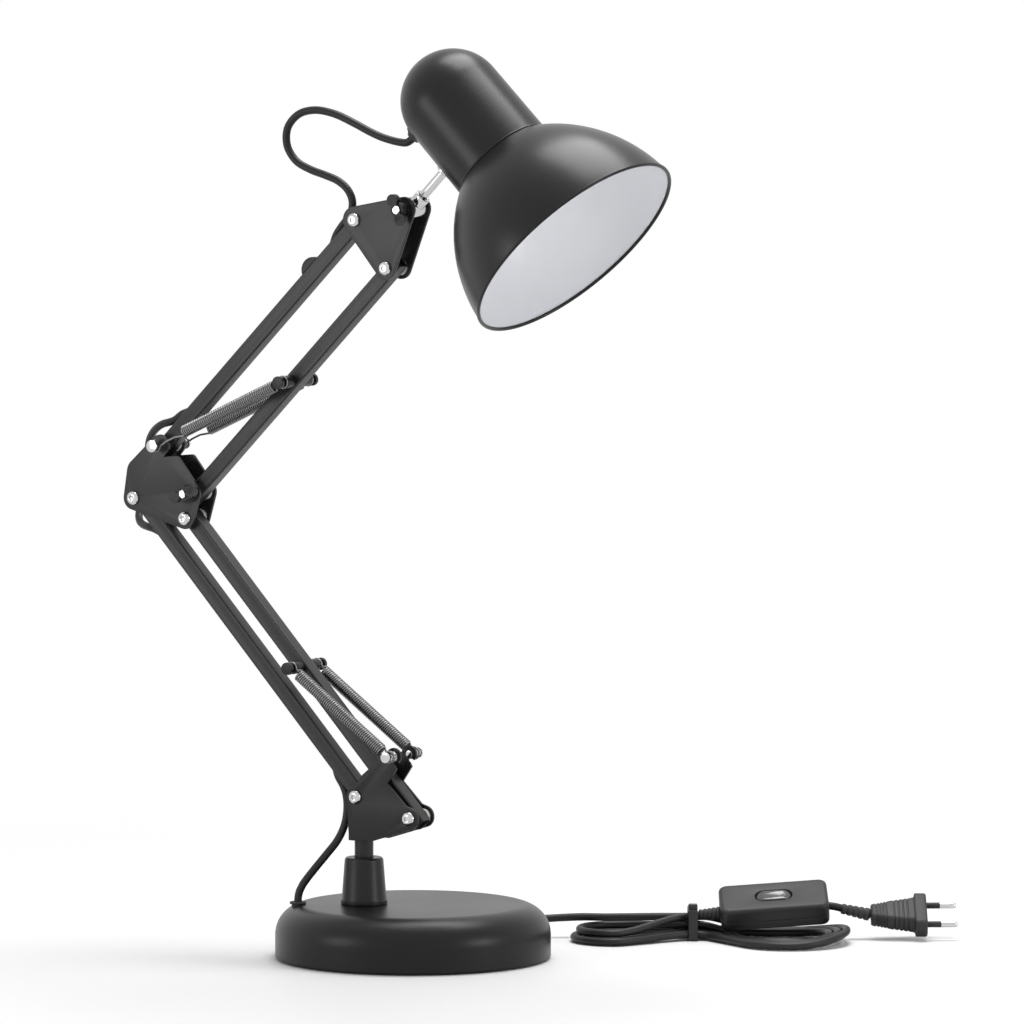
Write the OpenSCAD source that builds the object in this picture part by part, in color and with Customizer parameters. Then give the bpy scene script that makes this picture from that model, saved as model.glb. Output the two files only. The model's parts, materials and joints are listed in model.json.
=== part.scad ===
// Swing arm desk lamp: a weighted round base, two sprung parallelogram arms,
// a metal shade that tilts and swivels, and a mains lead with switch and plug.
// Millimetres, +Z up. The origin is the centre of the base's underside. The arms
// lie in a plane parallel to XZ, through the stem, and the head points to +X.

/* [Base] */
// Outer diameter of the base
base_d = 175; // [165:1:200]
// Height of the base
base_h = 34; // [32:1:40]
// Radius of the base's rounded shoulder
base_shoulder_r = 19; // [14:1:22]
// Sheet thickness of the base's cover
cover_t = 1.2; // [0.8:0.1:1.6]
// Thickness of the foam pad under the base
pad_t = 2; // [1.5:0.1:3]
// Distance from the base's centre to the stem
stem_offset = 31; // [24:1:36]
// Angle from the arms' plane to the base's own centre line
base_angle = 33; // [0:1:60]

/* [Stem] */
// Diameter of the stem pin
stem_d = 12; // [10:0.5:14]
// Height of the socket above the base
socket_h = 30; // [24:1:36]
// Diameter of the socket at its foot
socket_foot_d = 28.5; // [26:0.5:34]
// Diameter of the socket at its top
socket_top_d = 24; // [20:0.5:26]

/* [Arms] */
// Outer width of the square arm tubes
tube_w = 10; // [9:0.5:12]
// Wall of the arm tubes
tube_t = 0.9; // [0.7:0.1:1.2]
// Distance between the pivots of a lower arm
lower_len = 250; // [220:5:300]
// Distance between the pivots of an upper arm
upper_len = 210; // [200:5:260]
// Angle of the lower arms above +X
lower_angle = 133; // [120:1:140]
// Angle of the upper arms above +X
upper_angle = 44.7; // [38:0.1:50]
// How far a tube runs on past its pivot
tube_end = 6; // [5.5:0.1:6.5]

/* [Brackets] */
// Thickness of the bracket plates
plate_t = 1.8; // [1.5:0.1:2.5]
// Gap between the two plates of a bracket
plate_gap = 16; // [14:0.5:18]
// Diameter of the pivot bolts
bolt_d = 5; // [4:0.5:6]
// Diameter of the pivot bolts' heads
head_d = 9; // [8:0.5:11]
// Height of the lowest pivot above the table
first_pivot_z = 103; // [101:1:110]

/* [Springs] */
// Outer diameter of the springs
spring_d = 8; // [6:0.5:9]
// Distance from the arms' plane to a spring's axis
spring_y = 14.5; // [14.5:0.5:17]

/* [Head] */
// Diameter of the shade at its rim
shade_d = 149; // [140:1:160]
// Diameter of the shade's neck under its dome
neck_d = 66; // [62:1:68]
// Diameter of the neck's foot, where the bell starts
neck_foot_d = 67; // [65:1:71]
// Depth of the shade's bell, from rim to neck
bell_h = 73; // [68:1:78]
// Length of the neck's straight part
neck_len = 53; // [50:0.5:60]
// Radius of the bell's curve
bell_r = 103; // [95:1:130]
// Sheet thickness of the shade
shade_t = 1; // [0.8:0.1:1.4]
// Angle of the shade's axis below the horizontal
shade_tilt = 45; // [35:0.5:55]
// Diameter of the chrome rod
rod_d = 6; // [5:0.5:8]
// Length of the rod between the tilt bolt and the neck
rod_len = 36.5; // [30:0.5:45]

/* [Lead] */
// Diameter of the mains lead
lead_d = 5; // [5:0.5:5]
// Length of the switch body
switch_l = 70; // [64:1:72]
// Width of the switch body
switch_w = 31; // [28:0.5:32]
// Thickness of the switch body
switch_h = 16; // [15:0.5:18]
// Width of the plug's face
plug_w = 35.5; // [32:0.5:38]
// Thickness of the plug's face
plug_h = 13.5; // [12:0.5:15]

/* [Hidden] */
$fn = 64;

// Clearances and small shared sizes
pin_fit = 0.1;        // radial room of an arm on its pivot bolt
open_fit = 0.35;      // radial room at the open pivots of the second arms
swivel_fit = 0.08;    // radial room of the stem pin in the socket
side_gap = 0.3;       // room between a turning part and the part beside it
bolt_r = bolt_d / 2;
plate_y = plate_gap / 2;            // inner face of a plate
bracket_y = plate_y + plate_t;      // outer face of a plate
washer_d = 10;
black = [0.07, 0.07, 0.075];
lead_r = lead_d / 2;

// Places in the arms' plane, as [x from the stem, z]
function polar(r, a) = [r * cos(a), r * sin(a)];
lower_link = polar(41.5, -16);
upper_link = polar(37.9, -51.9);
p_low_rear = [0, first_pivot_z];
p_low_front = p_low_rear + lower_link;
p_elbow_rear = p_low_rear + polar(lower_len, lower_angle);
p_elbow_front = p_elbow_rear + lower_link;
p_up_rear = p_elbow_rear + [20.8, 34.6];
p_up_front = p_up_rear + upper_link;
p_head_rear = p_up_rear + polar(upper_len, upper_angle);
p_head_front = p_head_rear + upper_link;
p_tilt = p_head_rear + [37.3, 7.4];
p_low_anchor = p_low_front + polar(lower_len / 2, lower_angle);
p_up_anchor = p_up_front + polar(upper_len / 2, upper_angle);
p_hook = p_low_rear + [28.6, 27.5];

// The base's own frame, turned about the origin, and the arms' frame at the stem
module base_frame() rotate(base_angle) children();
module arm_frame() rotate(base_angle) translate([-stem_offset, 0, 0]) rotate(-base_angle) children();

// A flat outline in the arms' plane, given thickness t from y = y0 towards +y
module slab(y0, t) translate([0, y0 + t, 0]) rotate([90, 0, 0]) linear_extrude(t) children();
// A round bar across the arms' plane
module bar(p, r, y0, y1, fn = 64) translate([p[0], y1, p[1]]) rotate([90, 0, 0]) cylinder(r = r, h = y1
    - y0, $fn = fn);
module ring_bar(p, r_out, r_in, y0, y1) difference() {
    bar(p, r_out, y0, y1);
    bar(p, r_in, y0 - 1, y1 + 1);
}
// Both sides of the arms' plane
module both_sides() { children(); mirror([0, 1, 0]) children(); }

// A tube of 8 sides swept along points, each ring square to the path there
function unit(v) = v / norm(v);
function along(pts, i) = unit(pts[min(i + 1, len(pts) - 1)] - pts[max(i - 1, 0)]);
function side_of(t) = unit(cross(t, abs(t[2]) < 0.9 ? [0, 0, 1] : [0, 1, 0]));
module sweep(pts, r, sides = 8) {
    n = len(pts);
    rings = [for (i = [0:n - 1]) let (t = along(pts, i), u = side_of(t), v = cross(t, u))
        for (k = [0:sides - 1]) pts[i] + r * (cos(360 * k / sides) * u + sin(360 * k / sides) * v)];
    walls = [for (i = [0:n - 2]) for (k = [0:sides - 1]) for (half = [0, 1])
        let (m = (k + 1) % sides, a = i * sides, b = a + sides)
        half == 0 ? [a + k, a + m, b + m] : [a + k, b + m, b + k]];
    polyhedron(rings, concat([[for (k = [sides - 1:-1:0]) k]], walls,
        [[for (k = [0:sides - 1]) (n - 1) * sides + k]]), convexity = 10);
}

/* ---------- base ---------- */
base_r = base_d / 2;
skirt_gap = 1.2;      // the cover's edge stays this far above the table
weight_top = 9;
weight_gap = 0.4;
spigot_d = 18;
spigot_bottom = 20;
socket_floor = 22;
socket_ring_h = 3;
boss_r = 50;
boss_d = 12;
boss_angles = [0, 120, 240];
inlet_r = 73;         // where the lead from the arms enters the base
outlet_angle = 50;    // from the base's centre line
outlet_z = 12;
hole_d = 8;

// Outline of the base's outside, moved in by d
module base_outline(d) {
    r = base_shoulder_r - d;
    difference() {
        union() {
            square([base_r - base_shoulder_r, base_h - d]);
            square([base_r - d, base_h - base_shoulder_r]);
            translate([base_r - base_shoulder_r, base_h - base_shoulder_r]) circle(r = r, $fn = 96);
        }
        translate([-2 * base_d, -base_h]) square([2 * base_d, 4 * base_h]);
        translate([-1, -base_h]) square([base_d, base_h]);
    }
}
module inlet_hole(d) translate([-inlet_r, 0, base_h - 12]) cylinder(d = d, h = 20);
module outlet_hole(d) rotate(outlet_angle) translate([base_r - 12, 0, outlet_z]) rotate([0, 90, 0])
    cylinder(d = d, h = 16);

module base_cover() color(black) base_frame() difference() {
    rotate_extrude($fn = 128) difference() {
        base_outline(0);
        base_outline(cover_t);
        translate([-1, -1]) square([base_d, 1 + skirt_gap]);
    }
    translate([-stem_offset, 0, 0]) cylinder(d = spigot_d + 0.2, h = base_h + 1);
    inlet_hole(hole_d);
    outlet_hole(hole_d);
}
module base_weight() color([0.25, 0.25, 0.26]) base_frame() difference() {
    union() {
        rotate_extrude($fn = 128) intersection() {
            base_outline(cover_t + weight_gap);
            translate([0, pad_t + cover_t]) square([base_d, weight_top - pad_t - cover_t]);
        }
        for (a = boss_angles) rotate(a) translate([boss_r, 0, weight_top - 1])
            cylinder(d = boss_d, h = base_h - cover_t - weight_top + 1);
    }
    for (a = boss_angles) rotate(a) translate([boss_r, 0, -1]) cylinder(d = 4, h = 16);
    outlet_hole(hole_d + 1);
}
module base_plate() color([0.2, 0.2, 0.21]) base_frame() difference() {
    translate([0, 0, pad_t]) cylinder(r = base_r - cover_t - weight_gap, h = cover_t, $fn = 128);
    for (a = boss_angles) rotate(a) translate([boss_r, 0, 0]) cylinder(d = 4.4, h = 8);
}
module base_pad() color([0.12, 0.12, 0.12]) base_frame() difference() {
    cylinder(r = base_r - cover_t - 1, h = pad_t, $fn = 128);
    for (a = boss_angles) rotate(a) translate([boss_r, 0, -1]) cylinder(d = 11, h = 8);
}
module base_screws() color("silver") base_frame() for (a = boss_angles)
    rotate(a) translate([boss_r, 0, 0]) {
        translate([0, 0, 0.3]) cylinder(d = 8, h = pad_t - 0.3);
        translate([0, 0, pad_t]) cylinder(d = 4, h = 11);
    }
module socket() color(black) base_frame() translate([-stem_offset, 0, 0]) difference() {
    union() {
        translate([0, 0, spigot_bottom]) cylinder(d = spigot_d, h = base_h - spigot_bottom);
        translate([0, 0, base_h]) cylinder(d = socket_foot_d + 1, h = socket_ring_h);
        rotate_extrude($fn = 96) polygon([[0, base_h + socket_ring_h - 0.01],
            [socket_foot_d / 2, base_h + socket_ring_h - 0.01],
            [socket_top_d / 2 + 0.2, base_h + socket_h - 1.6],
            [socket_top_d / 2 - 0.4, base_h + socket_h - 0.5],
            [socket_top_d / 2 - 1.5, base_h + socket_h], [0, base_h + socket_h]]);
    }
    translate([0, 0, socket_floor]) cylinder(d = stem_d + 2 * swivel_fit, h = base_h + socket_h);
}
module socket_nut() color("dimgray") base_frame() translate([-stem_offset, 0, base_h - cover_t - 6])
    difference() {
    cylinder(d = 27.7, h = 6, $fn = 6);
    translate([0, 0, -1]) cylinder(d = spigot_d, h = 8);
}
module lead_inlet() color("black") base_frame() translate([-inlet_r, 0, 0]) difference() {
    union() {
        translate([0, 0, base_h - 5]) cylinder(d = hole_d, h = 6);
        translate([0, 0, base_h]) cylinder(d = hole_d + 2.4, h = 1.6);
    }
    translate([0, 0, base_h - 8]) cylinder(d = lead_d + 0.6, h = 12);
}
// Points of the lead inside the base, in the base's frame
lead_in_base_pts = [[-73, 0, 34], [-73, 0, 31], [-72.3, 0.8, 26.5], [-70, 3.2, 21.8], [-66, 7, 17.8],
    [-60.5, 12, 15.5], [-53.5, 17, 15], [-44, 21, 15], [-32, 23, 15], [-18, 24, 14.8], [-3, 28, 14.2],
    [13, 35.5, 13.2], [28, 44, 12.3], [41, 52.2, 12], [50.86, 60.57, 12], [56, 66.7, 12]];
module lead_in_base() color("black") base_frame() sweep(lead_in_base_pts, lead_r);
relief_l = 24;
module lead_outlet() color("black") base_frame() rotate(outlet_angle) translate([base_r, 0, outlet_z])
    rotate([0, 90, 0]) difference() {
        union() {
            translate([0, 0, -3]) cylinder(d = hole_d, h = 3.5);
            cylinder(d = hole_d + 3, h = 1.8);
            cylinder(d1 = hole_d + 1, d2 = lead_d + 1.6, h = relief_l);
        }
        translate([0, 0, -5]) cylinder(d = lead_d + 0.2, h = relief_l + 6);
    }

/* ---------- bolts, washers and nuts ---------- */
nut_h = 4;
head_h = 2.6;
// A bolt across a bracket: domed head at -y, shaft, hexagon nut and bolt end at +y
module pivot_bolt(p, d = bolt_d) {
    bar(p, d / 2, -bracket_y, bracket_y + nut_h + 1);
    difference() {
        union() {
            bar(p, head_d / 2, -bracket_y - head_h * 0.5, -bracket_y);
            bar(p, head_d / 2 - 0.9, -bracket_y - head_h, -bracket_y - head_h * 0.5 + 0.01);
        }
        bar(p, 1.7, -bracket_y - head_h - 1, -bracket_y - head_h + 1.3, 6);
    }
    difference() {
        bar(p, 4.6, bracket_y, bracket_y + nut_h, 6);
        bar(p, d / 2 - 0.01, bracket_y - 1, bracket_y + nut_h + 1);
    }
}
// The two washers that centre an arm between the plates
module arm_washers(p, hole = bolt_d) both_sides()
    ring_bar(p, washer_d / 2, hole / 2 + 0.05, tube_w / 2 + side_gap / 2, plate_y);

/* ---------- lower bracket ---------- */
block_top = first_pivot_z - 9;
neck_bottom = 76;
lobe_r = 7;
hook_t = 3;
hook_pin_d = 4.7;
module lower_plate_outline() {
    hull() {
        translate(p_low_rear) circle(r = lobe_r, $fn = 32);
        translate(p_low_front) circle(r = lobe_r, $fn = 32);
        translate([-5, neck_bottom]) square([18.5, 4]);
    }
    polygon([p_low_rear + [-2, 4], p_low_rear + [4.5, 14], p_hook + [-6.6, 1], p_hook + [-3.4, -1.5],
        p_hook + [0.6, -5.6], p_hook + [2, -8], p_hook + [-4.6, -17.5], p_low_front + [0, 6],
            p_low_rear + [10, -4]]);
    translate(p_hook) difference() {
        circle(r = 5.4);
        circle(r = 5.4 - hook_t);
        polygon([[0, 0], [-1.2, -8], [12, -8], [3.9, -3.9]]);
    }
}
module lower_bracket() color(black) arm_frame() difference() {
    union() {
        both_sides() slab(plate_y, plate_t) lower_plate_outline();
        translate([-6.5, -plate_y, neck_bottom - 1]) cube([13, plate_gap, block_top - neck_bottom + 1]);
    }
    bar(p_low_rear, bolt_r, -bracket_y - 1, bracket_y + 1);
    bar(p_low_front, bolt_r, -bracket_y - 1, bracket_y + 1);
    translate([0, 0, neck_bottom - 2]) cylinder(d = stem_d, h = 12);
}
module stem_pin() color(black) arm_frame() translate([0, 0, socket_floor + side_gap])
    cylinder(d = stem_d, h = neck_bottom + 10 - socket_floor - side_gap);
module lower_bracket_bolts() color("silver") arm_frame() {
    pivot_bolt(p_low_rear);
    pivot_bolt(p_low_front);
}
module lower_bracket_washers() color("white") arm_frame() {
    arm_washers(p_low_rear);
    arm_washers(p_low_front);
}

// The pins that lie in the plates' hooks and hold the springs' lower ends
module hook_pin() color("silver") arm_frame() both_sides() {
    bar(p_hook, hook_pin_d / 2, plate_y, anchor_y);
    bar(p_hook, hook_pin_d / 2 + 1, anchor_y - 1, anchor_y);
    bar(p_hook, hook_pin_d / 2 + 1, bracket_y, bracket_y + 1);
}

/* ---------- arms ---------- */
tube_corner = 1.2;
slot_from = 14;       // where the lead's slot starts, from the pivot
slot_l = 26;
anchor_pin_d = 5;
anchor_cap_d = 8;
anchor_y = spring_y + spring_d / 2 + 1;
module rounded_square(w, r) {
    square([w - 2 * r, w], center = true);
    square([w, w - 2 * r], center = true);
    for (x = [-1, 1], y = [-1, 1]) translate([x, y] * (w / 2 - r)) circle(r = r, $fn = 32);
}
// An arm along +x from its first pivot, with its holes, and slots on its +z side
module arm_tube(len, fit_1, fit_2, slots) difference() {
    translate([-tube_end, 0, 0]) rotate([90, 0, 90]) linear_extrude(len + 2 * tube_end) difference() {
        rounded_square(tube_w, tube_corner);
        rounded_square(tube_w - 2 * tube_t, 0.5);
    }
    bar([0, 0], bolt_r + fit_1, -tube_w, tube_w);
    bar([len, 0], bolt_r + fit_2, -tube_w, tube_w);
    if (slots) for (x = [slot_from, len - slot_from - slot_l])
        translate([x, -lead_r - 0.5, 0]) cube([slot_l, lead_d + 1, tube_w]);
}
// Puts an arm drawn along +x at a pivot, turned up by an angle
module at_arm(p, angle) translate([p[0], 0, p[1]]) rotate([0, -angle, 0]) children();
module lower_arm_rear() color(black) arm_frame() at_arm(p_low_rear, lower_angle)
    arm_tube(lower_len, pin_fit, pin_fit, true);
module lower_arm_front() color(black) arm_frame() difference() {
    at_arm(p_low_front, lower_angle) arm_tube(lower_len, pin_fit, open_fit, false);
    bar(p_low_anchor, anchor_pin_d / 2, -tube_w, tube_w);
}
module upper_arm_rear() color(black) arm_frame() at_arm(p_up_rear, upper_angle)
    arm_tube(upper_len, pin_fit, pin_fit, true);
module upper_arm_front() color(black) arm_frame() difference() {
    at_arm(p_up_front, upper_angle) arm_tube(upper_len, pin_fit, open_fit, false);
    bar(p_up_anchor, anchor_pin_d / 2, -tube_w, tube_w);
}
module anchor_pin(p) {
    bar(p, anchor_pin_d / 2, -anchor_y, anchor_y);
    both_sides() {
        bar(p, anchor_cap_d / 2, anchor_y - 1.5, anchor_y + 1);
        ring_bar(p, 4, anchor_pin_d / 2 - 0.01, tube_w / 2, spring_y - 1.2);
    }
}
module lower_anchor_pin() color(black) arm_frame() anchor_pin(p_low_anchor);
module upper_anchor_pin() color(black) arm_frame() anchor_pin(p_up_anchor);

/* ---------- springs ---------- */
wire_d = 1.4;
eye_d = 9.4;
// A spring's solid between two eyes, on one side of the arms
module spring_body(p, q) {
    d = q - p;
    length = norm(d);
    translate([p[0], spring_y, p[1]]) rotate([0, 90 - atan2(d[1], d[0]), 0])
        translate([0, 0, eye_d / 2]) cylinder(d = spring_d, h = length - eye_d);
}
module spring_eye(p) ring_bar(p, eye_d / 2 + 0.5, eye_d / 2 - wire_d, spring_y - wire_d / 2, spring_y +
    wire_d / 2);
module lower_springs() color([0.2, 0.2, 0.21]) arm_frame() both_sides() {
    spring_body(p_low_anchor, p_hook);
    spring_eye(p_low_anchor);
    spring_eye(p_hook);
}
module upper_springs() color([0.2, 0.2, 0.21]) arm_frame() both_sides() {
    spring_body(p_up_anchor, p_up_rear);
    spring_eye(p_up_anchor);
    spring_eye(p_up_rear);
}

/* ---------- leads through the arms ---------- */
lead_turn = slot_from + slot_l;   // where a lead reaches its tube's middle
module tube_lead(len) translate([lead_turn, 0, 0]) rotate([0, 90, 0])
    cylinder(r = lead_r, h = len - 2 * lead_turn);
module lower_arm_lead() color("black") arm_frame() at_arm(p_low_rear, lower_angle) tube_lead(lower_len);
module upper_arm_lead() color("black") arm_frame() at_arm(p_up_rear, upper_angle) tube_lead(upper_len);
// Points of the free leads, in the arms' frame. A lead swings out of its slot beside the tube.
lead_out = tube_w / 2 + lead_r + 0.2;
slot_path = [[lead_turn - 0.15, 0], [lead_turn - 2, 0.05], [33.5, 1.1], [27.5, lead_out / 2], [21.5,
    lead_out - 1.1]];
past_slot = [[slot_from + 1, lead_out], [slot_from - 6, lead_out + 0.5]];
// A point beside an arm: d = [along it from pivot p, out from its middle]
function beside(p, angle, d) = let (q = p + polar(d[0], angle) + polar(d[1], angle + 90)) [q[0], 0, q[1]];
function at(p, d) = [p[0] + d[0], d[1], p[1] + d[2]];
function reverse(v) = [for (i = [len(v) - 1:-1:0]) v[i]];
base_lead_pts = concat([for (d = concat(slot_path, [past_slot[0]])) beside(p_low_rear, lower_angle, d)],
    [for (d = [[-13.2, -0.3, -0.4], [-12, -1.2, -9.5], [-12.6, -3.2, -19], [-15.6, -6.6, -28.5], [-21,
        -11.2, -37.5],
        [-27, -16.4, -47], [-32.4, -20.7, -56], [-34.3, -22.2, -60.7], [-35, -22.7, -64], [-35.2,
            -22.9, -66.5],
        [-35.2, -22.9, -68.7]]) at(p_low_rear, d)]);
elbow_lead_pts = concat([for (d = concat(slot_path, [past_slot[0]])) beside(p_up_rear, upper_angle, d)],
    [for (d = [[20.8, 0.6, 48.9], [15.3, 2, 47.6], [9.3, 4.3, 45], [2.8, 8, 40.8], [-3, 12.5, 34.7],
        [-6.5, 16.5, 25.7],
        [-9, 19, 15.2], [-10.7, 19, 4.2], [-11.9, 16.4, -5.4], [-11, 12.2, -12.5], [-7.2, 8, -16.7],
            [-1.4, 4.4, -18.6],
        [4.4, 1.4, -19.3]]) at(p_elbow_rear, d)],
    [for (d = reverse(slot_path)) beside(p_elbow_rear, lower_angle, [-d[0], d[1]])]);
module base_lead() color("black") arm_frame() sweep(base_lead_pts, lead_r);
module elbow_lead() color("black") arm_frame() sweep(elbow_lead_pts, lead_r);

/* ---------- elbow ---------- */
wing_gap = 0.3;
wing_h = 8;
module elbow_outline() {
    bulge = p_elbow_rear + [3.5, 17];
    hull() {
        translate(p_elbow_rear) circle(r = 7.7, $fn = 32);
        translate(bulge) circle(r = 8.5, $fn = 32);
        translate(p_elbow_front) circle(r = lobe_r, $fn = 32);
        translate(p_up_front) circle(r = 7.5, $fn = 32);
        translate(p_up_front + [-11, 20.5]) circle(r = 3, $fn = 32);
    }
    hull() {
        translate(bulge) circle(r = 8.5, $fn = 32);
        translate(p_up_rear) circle(r = lobe_r, $fn = 32);
    }
}
module elbow_plates() color(black) arm_frame() difference() {
    both_sides() slab(plate_y, plate_t) elbow_outline();
    for (p = [p_elbow_rear, p_elbow_front, p_up_rear, p_up_front]) bar(p, bolt_r, -bracket_y - 1,
        bracket_y + 1);
}
// The bolt of a wing nut: head and shaft end at +y, threaded end at -y
module wing_bolt(p) {
    bar(p, bolt_r, -bracket_y - wing_h - 1, bracket_y);
    bar(p, head_d / 2, bracket_y, bracket_y + 2.2);
    bar(p, head_d / 2 - 1.2, bracket_y + 2.1, bracket_y + 3.4);
}
module wing_nut(p, angle) difference() {
    union() {
        bar(p, 4.6, -bracket_y - wing_h, -bracket_y - wing_gap);
        bar(p, 5.6, -bracket_y - 2.2, -bracket_y - wing_gap);
        for (a = [0, 180]) {
            c = p + polar(6.6, angle + a);
            bar(c, 3.8, -bracket_y - wing_h - 1.5, -bracket_y - wing_h + 2.5);
            translate([p[0], 0, p[1]]) rotate([0, -angle - a, 0])
                translate([2, -bracket_y - wing_h - 1.5, -2.2]) cube([4.6, 4 + wing_h - 5, 4.4]);
        }
    }
    bar(p, bolt_r + 0.02, -bracket_y - wing_h - 3, -bracket_y);
}
module elbow_bolts() color("silver") arm_frame() {
    pivot_bolt(p_elbow_rear);
    pivot_bolt(p_elbow_front);
    wing_bolt(p_up_front);
    bar(p_up_rear, bolt_r, -anchor_y, anchor_y);
    both_sides() {
        bar(p_up_rear, anchor_cap_d / 2, anchor_y - 1.5, anchor_y + 1);
        ring_bar(p_up_rear, 4, bolt_r - 0.01, bracket_y, spring_y - 1.2);
    }
}
module elbow_washers() color("white") arm_frame()
    for (p = [p_elbow_rear, p_elbow_front, p_up_rear, p_up_front]) arm_washers(p);
module elbow_wing_nut() color(black) arm_frame() wing_nut(p_up_front, 20);

/* ---------- upper arm bumper ---------- */
bumper_x = upper_len - 48;
bumper_h = 4.8;
module arm_bumper() color([0.03, 0.03, 0.03]) arm_frame() at_arm(p_up_rear, upper_angle)
    translate([bumper_x, 0, tube_w / 2]) intersection() {
        bar([0, bumper_h - 8.5], 8.5, -4.5, 4.5);
        translate([-10, -10, 0]) cube([20, 20, 10]);
    }

/* ---------- head bracket ---------- */
module head_outline() hull() {
    translate(p_head_rear) circle(r = 8.5, $fn = 32);
    translate(p_tilt) circle(r = 8, $fn = 32);
    translate(p_head_front) circle(r = 7.5, $fn = 32);
}
module head_plates() color(black) arm_frame() difference() {
    both_sides() slab(plate_y, plate_t) head_outline();
    for (p = [p_head_rear, p_head_front, p_tilt]) bar(p, bolt_r, -bracket_y - 1, bracket_y + 1);
}
module head_bolts() color("silver") arm_frame() {
    pivot_bolt(p_head_rear);
    pivot_bolt(p_head_front);
    wing_bolt(p_tilt);
}
module head_washers() color("white") arm_frame() {
    arm_washers(p_head_rear);
    arm_washers(p_head_front);
}
module tilt_wing_nut() color(black) arm_frame() wing_nut(p_tilt, 115);

/* ---------- shade and its carrier ---------- */
neck_r = neck_d / 2;
foot_r = neck_foot_d / 2;
rim_r = shade_d / 2;
rod_up = 26.5;                      // rod's axis above the neck's foot
rod_z = bell_h + rod_up;          // rod's axis above the rim
dome_z = bell_h + neck_len;       // centre of the dome above the rim
wall_r = foot_r - (foot_r - neck_r) * rod_up / neck_len;
rod_reach = rod_len + wall_r;
p_open = p_tilt + polar(rod_reach, 90 - shade_tilt) + polar(rod_z, -shade_tilt);
rim_bead_r = 1.2;
inlet_up = 4.5;                     // the lead's inlet above the dome's centre
flange_x = sqrt(pow(neck_r - shade_t, 2) - 64) - 0.3;
bracket_t = 1.5;
plate_z = dome_z - 8;             // underside of the holder's plate
thread_l = 24;        // length of the threaded sleeve
holder_d = 39;
holder_h = 46;
thread_d = 28;
// The shade's frame: the origin is the middle of the rim, +z points into the shade
module shade_frame() arm_frame() translate([p_open[0], 0, p_open[1]]) rotate([0, shade_tilt - 90, 0])
    children();
function chord_mid(a, b, r) = let (d = b - a, h = sqrt(r * r - d * d / 4), n = unit([-d[1], d[0]])) (a
    + b) / 2 - h * n;
bell_mid = chord_mid([foot_r, bell_h], [rim_r, 0], bell_r);

// Half outline of the shade, moved in by d
module shade_outline(d) difference() {
    union() {
        intersection() {
            translate(bell_mid) circle(r = bell_r - d, $fn = 256);
            translate([0, -0.01]) square([shade_d, bell_h + 0.01]);
        }
        polygon([[0, bell_h - 2], [foot_r - d, bell_h - 2], [foot_r - d, bell_h],
            [neck_r - d, dome_z], [0, dome_z]]);
        translate([0, dome_z]) circle(r = neck_r - d, $fn = 96);
    }
    translate([-3 * shade_d, -shade_d]) square([3 * shade_d, 5 * shade_d]);
}
module shade() color(black) shade_frame() difference() {
    rotate_extrude($fn = 128) {
        difference() {
            shade_outline(0);
            shade_outline(shade_t);
            translate([-1, -2]) square([shade_d, 2]);
        }
        translate([rim_r - shade_t / 2, 0]) circle(r = rim_bead_r, $fn = 32);
        translate([foot_r - 0.1, bell_h]) circle(r = 0.8, $fn = 32);
    }
    translate([-shade_d, 0, rod_z]) rotate([0, 90, 0]) cylinder(d = rod_d + 2 * pin_fit, h = shade_d);
    translate([-shade_d, 0, dome_z + inlet_up]) rotate([0, 90, 0]) cylinder(d = hole_d, h = shade_d);
}
module shade_grommet() color("black") shade_frame() translate([0, 0, dome_z + inlet_up]) rotate([0,
    -90, 0]) difference() {
    union() {
        translate([0, 0, neck_r - 5]) cylinder(d = hole_d - 0.5, h = 6);
        translate([0, 0, neck_r + 0.15]) cylinder(d = hole_d + 6.5, h = 1.8);
        translate([0, 0, neck_r + 0.15]) cylinder(d1 = hole_d + 6, d2 = hole_d + 1, h = 4.4);
        translate([0, 0, neck_r - 5.5]) cylinder(d = hole_d + 2.4, h = 2);
    }
    cylinder(d = lead_d + 0.2, h = 3 * neck_r);
}
module holder_bracket() color("silver") shade_frame() difference() {
    union() {
        translate([-flange_x, -8, rod_z - 10]) cube([bracket_t, 16, plate_z + bracket_t - rod_z + 10]);
        translate([-flange_x, -8, plate_z]) cube([flange_x + 2, 16, bracket_t]);
        translate([0, 0, plate_z]) cylinder(d = 24, h = bracket_t);
    }
    translate([-shade_d, 0, rod_z]) rotate([0, 90, 0]) cylinder(d = rod_d + 2 * pin_fit, h = shade_d);
    cylinder(d = 10, h = 2 * dome_z);
}
module lamp_holder() color("white") shade_frame() difference() {
    union() {
        translate([0, 0, plate_z - holder_h]) cylinder(d = holder_d, h = holder_h - 12);
        translate([0, 0, plate_z - 12]) cylinder(d1 = holder_d, d2 = 26, h = 12);
        translate([0, 0, plate_z - 1]) cylinder(d = 9.8, h = bracket_t + 6);
    }
    translate([0, 0, plate_z - holder_h - 1]) cylinder(d = thread_d + 1, h = holder_h - 15);
    cylinder(d = 6, h = 2 * dome_z);
}
module holder_thread() color("gold") shade_frame() translate([0, 0, plate_z - holder_h + 2]) difference() {
    cylinder(d = thread_d + 1, h = thread_l);
    translate([0, 0, -1]) cylinder(d = thread_d - 1.2, h = thread_l + 2);
}
module holder_contact() color("gold") shade_frame() translate([0, 0, plate_z - 16]) {
    translate([-4, -2.5, -0.8]) cube([14, 5, 0.8]);
    translate([4, -2.5, -2.7]) cube([5, 5, 2]);
}
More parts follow.
